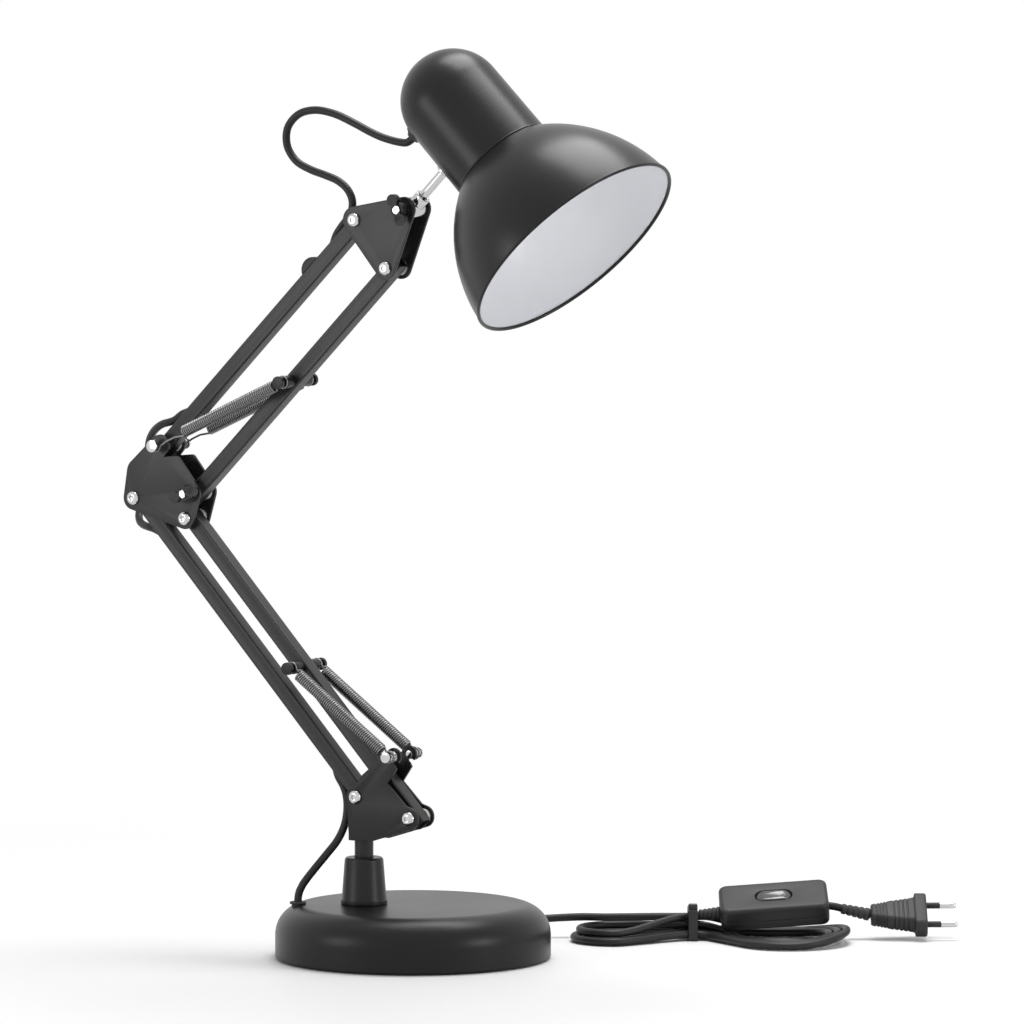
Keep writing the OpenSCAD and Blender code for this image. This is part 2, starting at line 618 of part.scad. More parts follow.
// A point in the shade's frame, a above the rim and u across, in the arms' frame
function in_shade(a, u) = let (q = p_open + polar(a, 180 - shade_tilt) + polar(u, 90 - shade_tilt))
    [q[0], 0, q[1]];
head_lead_pts = concat([for (d = concat(slot_path, past_slot)) beside(p_head_rear, upper_angle, [-d[0],
    d[1]])],
    [for (d = [[-8.2, 0, 5.4], [-7.8, 0, 12.3], [-11.6, 0, 19], [-18.6, 0, 24], [-28.6, 0, 27.5],
        [-39.6, 0, 30.8],
        [-50.6, 0, 36.3], [-57.1, 0, 45.8], [-56.6, 0, 56.8], [-48.6, 0, 65.3], [-36.6, 0, 68.3],
            [-21.6, 0, 66.3],
        [-5.6, 0, 60.3], [5, 0, 55.6], [13.5, 0, 52.4], [21, 0, 50.4],
        [27.5, 0, 49.2], [33.5, 0, 49]]) at(p_head_rear, d)],
    [for (u = [4.8, 3, 1]) in_shade(dome_z + inlet_up, -neck_r - u)]);
module head_lead() color("black") arm_frame() sweep(head_lead_pts, lead_r);
shade_lead_pts = [for (d = [[-neck_r - 0.8, 0], [3 - neck_r, 0], [7 - neck_r, 0.1], [-19, 2], [-11,
    4.5], [-4, 3],
    [0, -3], [0, -7]]) [d[0], 0, dome_z + inlet_up + d[1]]];
module shade_lead() color("black") shade_frame() sweep(shade_lead_pts, lead_r);
knuckle_d = 13;
rod_seat = 6;         // how far past the tilt bolt the rod starts
collar_gap = 0.3;
module tilt_knuckle() color("silver") difference() {
    union() {
        arm_frame() bar(p_tilt, knuckle_d / 2, side_gap - plate_y, plate_y - side_gap);
        shade_frame() translate([-rod_reach, 0, rod_z]) rotate([0, 90, 0]) cylinder(d = rod_d + 4, h = 12);
    }
    arm_frame() bar(p_tilt, bolt_r + pin_fit, -plate_gap, plate_gap);
    shade_frame() translate([-rod_reach + rod_seat, 0, rod_z]) rotate([0, 90, 0])
        cylinder(d = rod_d + 2 * swivel_fit, h = 20);
}
module head_rod() color("silver") shade_frame() translate([0, 0, rod_z]) rotate([0, 90, 0]) {
    translate([0, 0, rod_seat + side_gap - rod_reach])
        cylinder(d = rod_d, h = rod_reach - rod_seat - side_gap - flange_x + bracket_t + 7);
    translate([0, 0, -wall_r - collar_gap - 2.5]) cylinder(d = rod_d + 5, h = 2.5);
}
module rod_nut() color("dimgray") shade_frame() translate([-flange_x + bracket_t + collar_gap, 0, rod_z])
    rotate([0, 90, 0]) difference() {
        cylinder(d = 11.5, h = 5, $fn = 6);
        translate([0, 0, -1]) cylinder(d = rod_d, h = 8);
    }

/* ---------- mains lead, in the base's frame ---------- */
hank_y = 87;          // middle of the bundle at the tie
hank_waist = 10;      // half width of the bundle at the tie
hank_fold = [129.3, 76];
hank_fold_r = 28;
hank_loop = [238, 66];
hank_loop_r = 40;
rest_y = 93;          // middle of the strands that the switch rests on
rest_x = [185, 257];
hank_h = 10.5;
tie_x = 180.5;
tie_w = 6;
tie_t = 1.2;
switch_x = 199;
switch_y = 73;
switch_z = lead_d + 0.35;
switch_lean = 28;
relief_switch = 14;   // length of the relief on the switch
switch_pitch = 4;     // the end by the plug is a little higher
lead_up = sin(switch_lean) * switch_w / 2 + 4.5 * cos(switch_lean);
// A point of the lead's line through the switch, x from the end where it comes in
function in_switch(x) = [switch_x + x * cos(switch_pitch) - lead_up * sin(switch_pitch),
    switch_y + cos(switch_lean) * switch_w / 2 - 4.5 * sin(switch_lean),
    switch_z + x * sin(switch_pitch) + lead_up * cos(switch_pitch)];
plug_lean = 33;
plug_x = 295.5;
plug_neck = 28;       // from the plug's back to its face's flange
plug_z = (plug_w * sin(plug_lean) + plug_h * cos(plug_lean)) / 2;
switch_end = in_switch(switch_l);
plug_back = [plug_x, switch_end[1], plug_z];
plug_dip = atan2(switch_end[2] - plug_z, plug_x - switch_end[0]);
lead_from_base_pts = [[71.4, 85.1, 12], [74.8, 89, 12], [80.5, 93.2, 12], [88, 95.6, 12.1],
    [97, 95.6, 12.6], [110, 94.4, 13.2], [124, 92.8, 13.2]];
lead_to_switch_pts = [[142, 87, 13.2], [154, 85.8, 13.4], [166, 84.9, 14.1], [175.5, 84.6, 14.85],
    in_switch(0.5 - relief_switch)];
module lead_from_base() color("black") base_frame() sweep(lead_from_base_pts, lead_r);
module lead_to_switch() color("black") base_frame() sweep(lead_to_switch_pts, lead_r);
module lead_to_plug() color("black") base_frame() sweep([switch_end, plug_back - [0.35, 0, 0]], lead_r);

module tie_outline(grow) translate([hank_y, 8.6]) square([22.5 + 2 * grow, 17.2 + 2 * grow], center = true);
module tie_ring(grow, from, length) translate([from, 0, 0]) rotate([90, 0, 90]) linear_extrude(length)
    difference() {
    tie_outline(grow);
    tie_outline(0);
}
module lead_tie() color("black") base_frame() translate([0, 0, tie_t]) tie_ring(tie_t, tie_x - tie_w /
    2, tie_w);
module lead_hank() color([0.05, 0.05, 0.05]) base_frame() difference() {
    union() {
        linear_extrude(lead_d) hull() {
            translate([tie_x, hank_y]) circle(r = hank_waist, $fn = 32);
            translate(hank_loop) circle(r = hank_loop_r, $fn = 64);
        }
        linear_extrude(hank_h) hull() {
            translate([tie_x, hank_y]) circle(r = hank_waist, $fn = 32);
            translate(hank_fold) circle(r = hank_fold_r, $fn = 48);
        }
        translate([rest_x[0], rest_y - hank_waist, 0])
            cube([rest_x[1] - rest_x[0], 2 * hank_waist, hank_h]);
        translate([rest_x[1], rest_y, 0]) cylinder(r = hank_waist, h = hank_h);
    }
    translate([tie_x - tie_w / 2 - 0.3, hank_y - 30, -1]) cube([tie_w + 0.6, 60, tie_t + 1.1]);
    for (y = [hank_y - 40.95, hank_y + 10.95])
        translate([tie_x - tie_w / 2 - 0.3, y, -1]) cube([tie_w + 0.6, 30, 40]);
}
module switch_frame() base_frame() translate([switch_x, switch_y, switch_z])
    rotate([switch_lean, -switch_pitch, 0]) children();
switch_split = 7;
shell_t = 1.8;
rocker_l = 23;
rocker_w = 10.5;
rocker_z = 11;                    // the rocker's pin above the switch's underside
module plan(l, w, r) {
    translate([r, 0]) square([l - 2 * r, w]);
    translate([0, r]) square([l, w - 2 * r]);
    for (x = [r, l - r], y = [r, w - r]) translate([x, y]) circle(r = r, $fn = 48);
}
module inner_plan() translate([shell_t, shell_t]) plan(switch_l - 2 * shell_t, switch_w - 2 * shell_t, 3);
module switch_base() color(black) switch_frame() difference() {
    linear_extrude(switch_split) plan(switch_l, switch_w, 5);
    translate([0, 0, shell_t]) linear_extrude(switch_split) inner_plan();
    translate([-1, switch_w / 2, 4.5]) rotate([0, 90, 0]) cylinder(d = lead_d + 0.6, h = switch_l + 2);
}
module switch_cover() color(black) switch_frame() difference() {
    translate([0, 0, switch_split]) {
        linear_extrude(switch_h - switch_split - 2) plan(switch_l, switch_w, 5);
        translate([0, 0, switch_h - switch_split - 2]) linear_extrude(1) translate([0.4, 0.4])
            plan(switch_l - 0.8, switch_w - 0.8, 4.6);
        translate([0, 0, switch_h - switch_split - 1]) linear_extrude(1) translate([1.2, 1.2])
            plan(switch_l - 2.4, switch_w - 2.4, 4);
    }
    translate([0, 0, switch_split - 1]) linear_extrude(switch_h - switch_split + 1 - shell_t) inner_plan();
    translate([(switch_l - rocker_l) / 2 - 0.4, (switch_w - rocker_w) / 2 - 0.4, 0]) cube([rocker_l +
        0.8, rocker_w + 0.8, 30]);
    translate([-1, switch_w / 2, 4.5]) rotate([0, 90, 0]) cylinder(d = lead_d + 0.6, h = switch_l + 2);
}
module switch_rocker() color("gray") switch_frame() translate([switch_l / 2, switch_w / 2, rocker_z]) {
    rotate([90, 0, 0]) linear_extrude(rocker_w, center = true) polygon([[-rocker_l / 2 + 1.4, -1],
        [-4, -4.5], [4, -4.5], [rocker_l / 2 - 1.4, -1], [rocker_l / 2 - 0.8, 4.2], [0, 6.2],
            [-rocker_l / 2 + 0.8, 4.2]]);
    bar([0, 0], 1.2, -rocker_w / 2 - 0.3, rocker_w / 2 + 0.3);
}
module switch_relief() color("black") base_frame() {
    translate(in_switch(0)) rotate([0, -90 - switch_pitch, 0]) difference() {
        cylinder(d1 = lead_d + 4, d2 = lead_d + 1.8, h = relief_switch);
        translate([0, 0, -1]) cylinder(d = lead_d + 0.1, h = relief_switch + 2);
    }
}
module plug_frame() base_frame() translate(plug_back) rotate([plug_lean, 0, 0]) children();
module plug_section(x, w, h, t) translate([x, 0, 0]) rotate([90, 0, 90]) linear_extrude(t)
    translate([-w / 2, -h / 2]) plan(w, h, h / 2 - 0.5);
module plug_body() color(black) plug_frame() {
    hull() {
        plug_section(0, 16, 10, 1);
        plug_section(plug_neck - 5, plug_w - 8, plug_h - 1.5, 5);
    }
    plug_section(plug_neck, plug_w, plug_h, 8);
    for (y = [-9.3, 9.3]) translate([plug_neck + 8, y, 0]) rotate([0, 90, 0]) cylinder(d = 4, h = 9.5);
}
module plug_pins() color("silver") plug_frame() for (y = [-9.3, 9.3]) {
    translate([plug_neck + 17.5, y, 0]) rotate([0, 90, 0]) cylinder(d = 4, h = 8.8);
    translate([plug_neck + 26.3, y, 0]) rotate([0, 90, 0]) cylinder(d1 = 4, d2 = 2.6, h = 1.4);
}
module plug_relief() color("black") base_frame() translate(plug_back) rotate([0, -90 + plug_dip, 0])
    difference() {
    translate([0, 0, 1.2]) cylinder(d1 = lead_d + 3.4, d2 = lead_d + 1.4, h = 18.8);
    translate([0, 0, -1]) cylinder(d = lead_d + 0.1, h = 22);
}

base_cover();
base_weight();
base_plate();
base_pad();
base_screws();
socket();
socket_nut();
lead_inlet();
lead_in_base();
lead_outlet();
lower_bracket();
stem_pin();
lower_bracket_bolts();
lower_bracket_washers();
hook_pin();
lower_arm_rear();
lower_arm_front();
lower_anchor_pin();
lower_springs();
lower_arm_lead();
base_lead();
elbow_plates();
elbow_bolts();
elbow_washers();
elbow_wing_nut();
elbow_lead();
upper_arm_rear();
upper_arm_front();
upper_anchor_pin();
upper_springs();
upper_arm_lead();
arm_bumper();
head_plates();
head_bolts();
head_washers();
tilt_wing_nut();
tilt_knuckle();
head_rod();
rod_nut();
head_lead();
shade();
shade_grommet();
shade_lead();
holder_bracket();
lamp_holder();
holder_thread();
holder_contact();
lead_from_base();
lead_to_switch();
lead_to_plug();
lead_hank();
lead_tie();
switch_base();
switch_cover();
switch_rocker();
switch_relief();
plug_body();
plug_pins();
plug_relief();
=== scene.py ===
# %% [markdown]
# # A swing arm desk lamp
# The lamp is a jointed machine: square tubes, pressed plates, bolts, springs and one long lead.
# The frame that this script opens holds every solid at its real place, in metres. The lesson
# dresses each of them in a finish, and builds by hand what a plain solid can't show: coils,
# rolled edges, soft corners, and a lead that lies as a lead does.

# %% Open the frame
import json
import math
import bmesh
import bpy
from mathutils import Matrix, Vector

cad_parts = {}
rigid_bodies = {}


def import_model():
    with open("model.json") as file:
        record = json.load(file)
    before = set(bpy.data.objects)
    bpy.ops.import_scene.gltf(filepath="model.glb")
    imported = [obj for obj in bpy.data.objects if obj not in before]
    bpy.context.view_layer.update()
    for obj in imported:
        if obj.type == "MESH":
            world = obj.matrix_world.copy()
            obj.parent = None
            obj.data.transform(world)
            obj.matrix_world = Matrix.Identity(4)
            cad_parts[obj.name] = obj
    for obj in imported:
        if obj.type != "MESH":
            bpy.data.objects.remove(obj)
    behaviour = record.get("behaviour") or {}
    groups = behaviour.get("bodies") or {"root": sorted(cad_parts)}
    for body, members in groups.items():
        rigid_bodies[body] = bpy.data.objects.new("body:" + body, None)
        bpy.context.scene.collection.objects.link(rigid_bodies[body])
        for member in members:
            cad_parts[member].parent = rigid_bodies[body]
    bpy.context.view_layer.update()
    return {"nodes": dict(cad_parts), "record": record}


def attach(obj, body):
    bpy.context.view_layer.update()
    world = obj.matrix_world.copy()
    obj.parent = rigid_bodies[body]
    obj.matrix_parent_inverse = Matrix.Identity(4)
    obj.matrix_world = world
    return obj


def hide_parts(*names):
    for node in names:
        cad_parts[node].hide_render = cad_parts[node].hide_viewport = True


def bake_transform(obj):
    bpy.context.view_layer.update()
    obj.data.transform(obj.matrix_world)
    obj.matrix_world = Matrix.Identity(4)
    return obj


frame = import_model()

# %% [markdown]
# ## The camera
# A long lens far away keeps the arms from spreading, so the lamp looks as it is built. The
# camera stands 33 degrees round from the arms' plane, a little above the shade. The camera and
# the lamps of the studio are put in place by one helper, from a bearing and a height.

# %% Camera
VIEW_TURN = math.radians(33)
VIEW_DISTANCE, VIEW_HEIGHT = 5.0, 0.676
FRAME_WIDTH = 0.64512               # metres across the picture, at the base
AIM_ASIDE, AIM_HEIGHT = 0.0628, 0.2832
SENSOR = 36


def placed(name, data):
    """A new object in the scene."""
    made = bpy.data.objects.new(name, data)
    bpy.context.scene.collection.objects.link(made)
    return made


def looking(name, data, bearing, distance, height, target):
    """An object that stands on a bearing, in radians, and looks at a target."""
    made = placed(name, data)
    made.location = (math.sin(bearing) * distance, -math.cos(bearing) * distance, height)
    made.rotation_euler = (target - made.location).to_track_quat("-Z", "Y").to_euler()
    return made


across_view = Vector((math.cos(VIEW_TURN), math.sin(VIEW_TURN), 0))
aim = across_view * AIM_ASIDE + Vector((0, 0, AIM_HEIGHT))
camera_data = bpy.data.cameras.new("camera")
camera = looking("camera", camera_data, VIEW_TURN, VIEW_DISTANCE, VIEW_HEIGHT, aim)
camera_data.sensor_width = SENSOR
camera_data.lens = SENSOR * VIEW_DISTANCE / FRAME_WIDTH
camera_data.clip_end = 50
bpy.context.scene.camera = camera
print("lens, mm:", round(camera_data.lens, 1))

# %% [markdown]
# ## Two frames of reference
# The arms are drawn in their own plane, with x measured from the stem. The base and the mains
# lead are drawn on the base's own centre line, which is turned by 33 degrees. Two small helpers
# take millimetres in either frame and give a point in metres in the frame of the whole lamp.

# %% Places
BASE_TURN = math.radians(33)
STEM_OFFSET = 31
STEM = (-STEM_OFFSET * math.cos(BASE_TURN), -STEM_OFFSET * math.sin(BASE_TURN))


def arms(x, y, z):
    """A point in the arms' frame, in mm, as a place in metres."""
    return Vector((x + STEM[0], y + STEM[1], z)) / 1000


def base(x, y, z):
    """A point in the base's frame, in mm, as a place in metres."""
    c, s = math.cos(BASE_TURN), math.sin(BASE_TURN)
    return Vector((x * c - y * s, x * s + y * c, z)) / 1000


def polar(start, length, angle):
    """The point a length away from start, at an angle in degrees, in the arms' plane."""
    turn = math.radians(angle)
    return start[0] + length * math.cos(turn), start[1] + length * math.sin(turn)


def way_at(angle):
    """A direction in the arms' plane, at an angle in degrees above level."""
    return Vector((*polar((0, 0), 1, angle), 0)).xzy


def moved(point, ahead, up):
    """A point of the arms' plane, moved ahead and up."""
    return point[0] + ahead, point[1] + up


LOWER_ANGLE, UPPER_ANGLE = 133, 44.7
LOWER_LENGTH, UPPER_LENGTH = 250, 210
LOWER_LINK, UPPER_LINK = (41.5, -16), (37.9, -51.9)     # from a rear pivot to the front one
LOW_REAR = (0, 103)
LOW_FRONT = polar(LOW_REAR, *LOWER_LINK)
ELBOW_REAR = polar(LOW_REAR, LOWER_LENGTH, LOWER_ANGLE)
ELBOW_FRONT = polar(ELBOW_REAR, *LOWER_LINK)
UP_REAR = moved(ELBOW_REAR, 20.8, 34.6)
UP_FRONT = polar(UP_REAR, *UPPER_LINK)
HEAD_REAR = polar(UP_REAR, UPPER_LENGTH, UPPER_ANGLE)
HEAD_FRONT = polar(HEAD_REAR, *UPPER_LINK)
TILT = moved(HEAD_REAR, 37.3, 7.4)
LOW_ANCHOR = polar(LOW_FRONT, LOWER_LENGTH / 2, LOWER_ANGLE)
UP_ANCHOR = polar(UP_FRONT, UPPER_LENGTH / 2, UPPER_ANGLE)
HOOK = moved(LOW_REAR, 28.6, 27.5)
print("elbow at", [round(v, 4) for v in arms(ELBOW_REAR[0], 0, ELBOW_REAR[1])])

# %% [markdown]
# ## Effects shared by several finishes
# Paint, moulded plastic and rubber all have a fine unevenness, and all pick up a little dust
# and handling. Each effect is a node group that is built once: a grain that gives a height and
# a roughness, and a wear mask that brightens the outer edges.

# %% Node group helpers
def new_group(name, inputs, outputs):
    """A shader node group with float inputs {name: default} and outputs {name: socket type}."""
    group = bpy.data.node_groups.new(name, "ShaderNodeTree")
    for label, default in inputs.items():
        socket = group.interface.new_socket(label, in_out="INPUT", socket_type="NodeSocketFloat")
        socket.default_value = default
    for label, kind in outputs.items():
        group.interface.new_socket(label, in_out="OUTPUT", socket_type=kind)
    return group, group.nodes.new("NodeGroupInput"), group.nodes.new("NodeGroupOutput")


def add(tree, kind, links=(), **settings):
    """A node with its settings, in_Name=value for an input, and links as (input, source)."""
    node = tree.nodes.new(kind)
    for key, value in settings.items():
        if key.startswith("in_"):
            node.inputs[key[3:].replace("_", " ")].default_value = value
        else:
            setattr(node, key, value)
    for target, source in links:
        tree.links.new(source, node.inputs[target])
    return node


def maths(tree, operation, first, second, clamp=False):
    """The outcome of a sum on two sources; the second may be a plain number."""
    node = add(tree, "ShaderNodeMath", [(0, first)], operation=operation, use_clamp=clamp)
    if isinstance(second, float):
        node.inputs[1].default_value = second
    else:
        tree.links.new(second, node.inputs[1])
    return node.outputs[0]


def ramp(tree, source, low, high, **settings):
    """A value that goes from 0 to 1 while its source goes from low to high."""
    return add(tree, "ShaderNodeMapRange", [("Value", source)], in_From_Min=low, in_From_Max=high,
               **settings).outputs["Result"]


def mixed(tree, factor, first, second):
    """A colour that goes from first to second with a factor."""
    return add(tree, "ShaderNodeMix", [("Factor", factor)], data_type="RGBA",
               in_A=(*first, 1), in_B=(*second, 1)).outputs["Result"]


# %% Grain group
def make_grain():
    """Two sizes of noise: a fine one for the height, and a broad one that varies the gloss."""
    group, given, out = new_group("Surface grain",
                                  {"Size per metre": 900, "Spread": 0.08, "Roughness": 0.4},
                                  {"Height": "NodeSocketFloat", "Roughness": "NodeSocketFloat"})
    place = add(group, "ShaderNodeTexCoord")
    fine = add(group, "ShaderNodeTexNoise", [("Vector", place.outputs["Object"]),
                                             ("Scale", given.outputs["Size per metre"])],
               in_Detail=3, in_Roughness=0.55)
    broad = add(group, "ShaderNodeTexNoise", [("Vector", place.outputs["Object"])],
                in_Scale=22, in_Detail=4, in_Roughness=0.6)
    centred = maths(group, "SUBTRACT", broad.outputs["Fac"], 0.5)
    scaled = maths(group, "MULTIPLY", centred, given.outputs["Spread"])
    total = maths(group, "ADD", scaled, given.outputs["Roughness"], clamp=True)
    group.links.new(fine.outputs["Fac"], out.inputs["Height"])
    group.links.new(total, out.inputs["Roughness"])
    return group


GRAIN = make_grain()
print("group:", GRAIN.name)

# %% Handling group
def make_handling():
    """Where a surface is touched and rubbed: outer edges, and broad faint smudges."""
    group, given, out = new_group("Handling marks", {"Edge": 0.5, "Smudge": 0.3},
                                  {"Mask": "NodeSocketFloat"})
    shape = add(group, "ShaderNodeNewGeometry")
    rubbed = maths(group, "MULTIPLY", ramp(group, shape.outputs["Pointiness"], 0.53, 0.62),
                   given.outputs["Edge"])
    place = add(group, "ShaderNodeTexCoord")
    marks = add(group, "ShaderNodeTexNoise", [("Vector", place.outputs["Object"])],
                in_Scale=55, in_Detail=6, in_Roughness=0.7)
    smudged = maths(group, "MULTIPLY", ramp(group, marks.outputs["Fac"], 0.5, 0.8),
                    given.outputs["Smudge"])
    group.links.new(maths(group, "ADD", rubbed, smudged, clamp=True), out.inputs["Mask"])
    return group


HANDLING = make_handling()
print("group:", HANDLING.name)

# %% [markdown]
# ## Finishes
# Most of the lamp is one satin black stoved paint. It isn't a flat black: the coat has a slight
# orange peel, its gloss changes from place to place, and rubbed edges are a little lighter. The
# real coat is the same all over, but its copy on the arms and plates is painted a little lighter,
# as painted light, and its copies on the base and the shade a little darker, as painted shade.
# The other finishes use the same two groups with their own numbers.

# %% Coated finish
COAT_ROUGHNESS, GRAIN_DEPTH = 0.12, 0.0005


def finish_of(name, colour, worn, roughness, spread=0.08, grain=900, bump=0.04, edge=0.4,
              smudge=0.25, metallic=0.0, coat=0.0, specular=0.5):
    """A material whose colour goes from colour to worn by the handling mask, over a fine grain."""
    material = bpy.data.materials.new(name)
    material.use_nodes = True
    tree = material.node_tree
    shader = tree.nodes["Principled BSDF"]
    shader.inputs["Metallic"].default_value = metallic
    shader.inputs["Coat Weight"].default_value = coat
    shader.inputs["Coat Roughness"].default_value = COAT_ROUGHNESS
    shader.inputs["Specular IOR Level"].default_value = specular
    surface = add(tree, "ShaderNodeGroup", node_tree=GRAIN)
    surface.inputs["Size per metre"].default_value = grain
    surface.inputs["Spread"].default_value = spread
    surface.inputs["Roughness"].default_value = roughness
    marks = add(tree, "ShaderNodeGroup", node_tree=HANDLING)
    marks.inputs["Edge"].default_value = edge
    marks.inputs["Smudge"].default_value = smudge
    tree.links.new(mixed(tree, marks.outputs["Mask"], colour, worn), shader.inputs["Base Color"])
    tree.links.new(surface.outputs["Roughness"], shader.inputs["Roughness"])
    height = add(tree, "ShaderNodeBump", [("Height", surface.outputs["Height"])],
                 in_Strength=bump, in_Distance=GRAIN_DEPTH)
    tree.links.new(height.outputs["Normal"], shader.inputs["Normal"])
    material.diffuse_color = (*colour, 1)
    return material


def grey(v):
    """A grey with a trace of blue."""
    return (v, v, v * 1.02)


# %% The lamp's finishes
BLACK_PAINT = finish_of("satin_black_paint", grey(0.007), grey(0.025), 0.34, grain=1400, bump=0.12,
                        specular=0.3)
# The same black coat, painted lighter on the arms and plates as painted light
ARM_PAINT_PAINTED_LIGHT = finish_of("arm_black_paint_painted_light", grey(0.012), grey(0.03), 0.38, grain=1400, bump=0.12,
                      edge=0.2, specular=0.42)
# The same black coat, painted darker on the base and the shade as painted shade
BASE_PAINT_PAINTED_SHADE = finish_of("base_black_paint_painted_shade", grey(0.005), grey(0.015), 0.34, bump=0.14,
                       edge=0.15, specular=0.25)
LAMPSHADE_PAINT_PAINTED_SHADE = finish_of("lampshade_black_paint_painted_shade", grey(0.005), grey(0.015), 0.32, bump=0.08,
                        edge=0.15, specular=0.3)
WHITE_PAINT = finish_of("white_inner_paint", (0.84, 0.85, 0.88), (0.76, 0.77, 0.8), 0.26,
                        bump=0.08, coat=0.4)
CHROME = finish_of("chrome_plating", grey(0.58), grey(0.5), 0.12, spread=0.06, bump=0.02, metallic=1)
ZINC = finish_of("zinc_plated_steel", grey(0.55), grey(0.62), 0.38, spread=0.2, bump=0.1, metallic=1)
SPRING_WIRE = finish_of("spring_wire", grey(0.16), grey(0.3), 0.3, spread=0.15, bump=0.06, metallic=1)
CAST_IRON = finish_of("cast_iron", grey(0.07), grey(0.12), 0.7, grain=500, bump=0.5)
FOAM = finish_of("foam_pad", grey(0.03), grey(0.05), 0.95, grain=1600, bump=0.8)
SHEATH = finish_of("black_lead_sheath", grey(0.01), grey(0.03), 0.42, spread=0.12, grain=1200,
                   bump=0.1, edge=0.05, specular=0.3)
BLACK_MOULDING = finish_of("black_moulding", grey(0.014), grey(0.04), 0.46, grain=2200, bump=0.3,
                           specular=0.35)
SOFT_RUBBER = finish_of("black_rubber", grey(0.016), grey(0.04), 0.6, grain=1500, bump=0.25)
ROCKER_GREY = finish_of("grey_gloss_moulding", grey(0.03), grey(0.08), 0.16, grain=1200, bump=0.03,
                        coat=0.5)
NYLON = finish_of("natural_nylon", (0.6, 0.6, 0.56), (0.5, 0.5, 0.47), 0.5, bump=0.1)
HOLDER_WHITE = finish_of("white_holder_moulding", (0.72, 0.72, 0.7), (0.62, 0.62, 0.6), 0.3, bump=0.05)
BRASS = finish_of("plain_brass", (0.75, 0.55, 0.26), (0.62, 0.45, 0.2), 0.3, bump=0.08, metallic=1)

# %% [markdown]
# ## Darker edges on chrome
# A chrome rod mirrors a bright room in its middle and darker things along its edges. A mask
# that grows where the surface turns away from the eye darkens the plating there.

# %% Chrome
chrome_tree = CHROME.node_tree
chrome_shader = chrome_tree.nodes["Principled BSDF"]
plating = chrome_shader.inputs["Base Color"].links[0].from_socket
turned_away = add(chrome_tree, "ShaderNodeLayerWeight", in_Blend=0.5)
rim_shade = ramp(chrome_tree, turned_away.outputs["Facing"], 0.2, 0.75, in_To_Max=0.85)
rim_mix = add(chrome_tree, "ShaderNodeMix", [("Factor", rim_shade), ("A", plating)],
              data_type="RGBA")
chrome_tree.links.new(rim_mix.outputs["Result"], chrome_shader.inputs["Base Color"])
print("finishes:", len(bpy.data.materials))

# %% [markdown]
# ## Paths and tubes
# A lead is drawn as a tube swept along a path. The path is given by a few listed points,
# and a centripetal Catmull-Rom curve joins them: it passes through each point and never loops
# back between two of them. The rings are carried along without twisting, so the sheath stays
# smooth where the path turns.

# %% Smooth paths
def on_curve(four, share):
    """The place a share of the way from the second to the third of four points."""
    knots = [0.0]
    for a, b in zip(four, four[1:]):
        knots.append(knots[-1] + (b - a).length ** 0.5)
    t = knots[1] + (knots[2] - knots[1]) * share
    row = list(four)
    for spans in (((0, 1), (1, 2), (2, 3)), ((0, 2), (1, 3)), ((1, 2),)):
        row = [row[i].lerp(row[i + 1], (t - knots[a]) / (knots[b] - knots[a]))
               for i, (a, b) in enumerate(spans)]
    return row[0]


def path_length(path):
    """The length of a path, from point to point."""
    return sum((b - a).length for a, b in zip(path, path[1:]))


def even(path, step):
    """The same path with its points about a step apart."""
    count = max(2, round(path_length(path) / step))
    spacing, result, walked, goal = path_length(path) / count, [path[0]], 0.0, 1
    for a, b in zip(path, path[1:]):
        piece = (b - a).length
        while goal < count and walked + piece >= goal * spacing:
            result.append(a.lerp(b, (goal * spacing - walked) / piece))
            goal += 1
        walked += piece
    return result + [path[-1]]


def smooth(points, step=0.002):
    """A smooth path through the points, in even steps."""
    points = [Vector(p) for p in points]
    run = [2 * points[0] - points[1], *points, 2 * points[-1] - points[-2]]
    fours = zip(run, run[1:], run[2:], run[3:])
    dense = [on_curve(four, i / 10) for four in fours for i in range(10)]
    return even(dense + [points[-1]], step)


# %% Pieces
def piece(name, vertices, faces, material, slot, body=None, sharp=35):
    """A mesh object with one finish, smooth except at edges sharper than an angle in degrees."""
    mesh = bpy.data.meshes.new(name)
    mesh.from_pydata([tuple(v) for v in vertices], [], faces)
    form = bmesh.new()
    form.from_mesh(mesh)
    bmesh.ops.recalc_face_normals(form, faces=form.faces)
    form.to_mesh(mesh)
    form.free()
    mesh.shade_smooth()
    mesh.set_sharp_from_angle(angle=math.radians(sharp))
    mesh.materials.append(material)
    made = placed(name, mesh)
    if body:
        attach(made, body)
    return made


# %% Tubes
def untwisted(path):
    """For each point of a path: the direction there, and two directions square to it."""
    frames = []
    side = None
    for i, place in enumerate(path):
        ahead = (path[min(i + 1, len(path) - 1)] - path[max(i - 1, 0)]).normalized()
        side = ahead.orthogonal() if side is None else side - ahead * side.dot(ahead)
        side.normalize()
        frames.append((place, side.copy(), ahead.cross(side)))
    return frames


def skin(rings, count):
    """The faces that join a row of rings of so many points, and close both ends."""
    faces = []
    for first in range(0, (rings - 1) * count, count):
        for k in range(count):
            after = (k + 1) % count
            faces.append((first + k, first + after, first + count + after, first + count + k))
    last = (rings - 1) * count
    return faces + [tuple(range(count)), tuple(range(last, last + count))]


def tube_mesh(path, radius, sides=16):
    """Vertices and faces of a closed tube along a path."""
    turns = [2 * math.pi * k / sides for k in range(sides)]
    vertices = [place + radius * (u * math.cos(a) + v * math.sin(a))
                for place, u, v in untwisted(path) for a in turns]
    return vertices, skin(len(path), sides)


def tube(name, path, radius, material, slot, body=None, sides=16):
    """A tube along a path, as a piece."""
    return piece(name, *tube_mesh(path, radius, sides), material, slot, body)


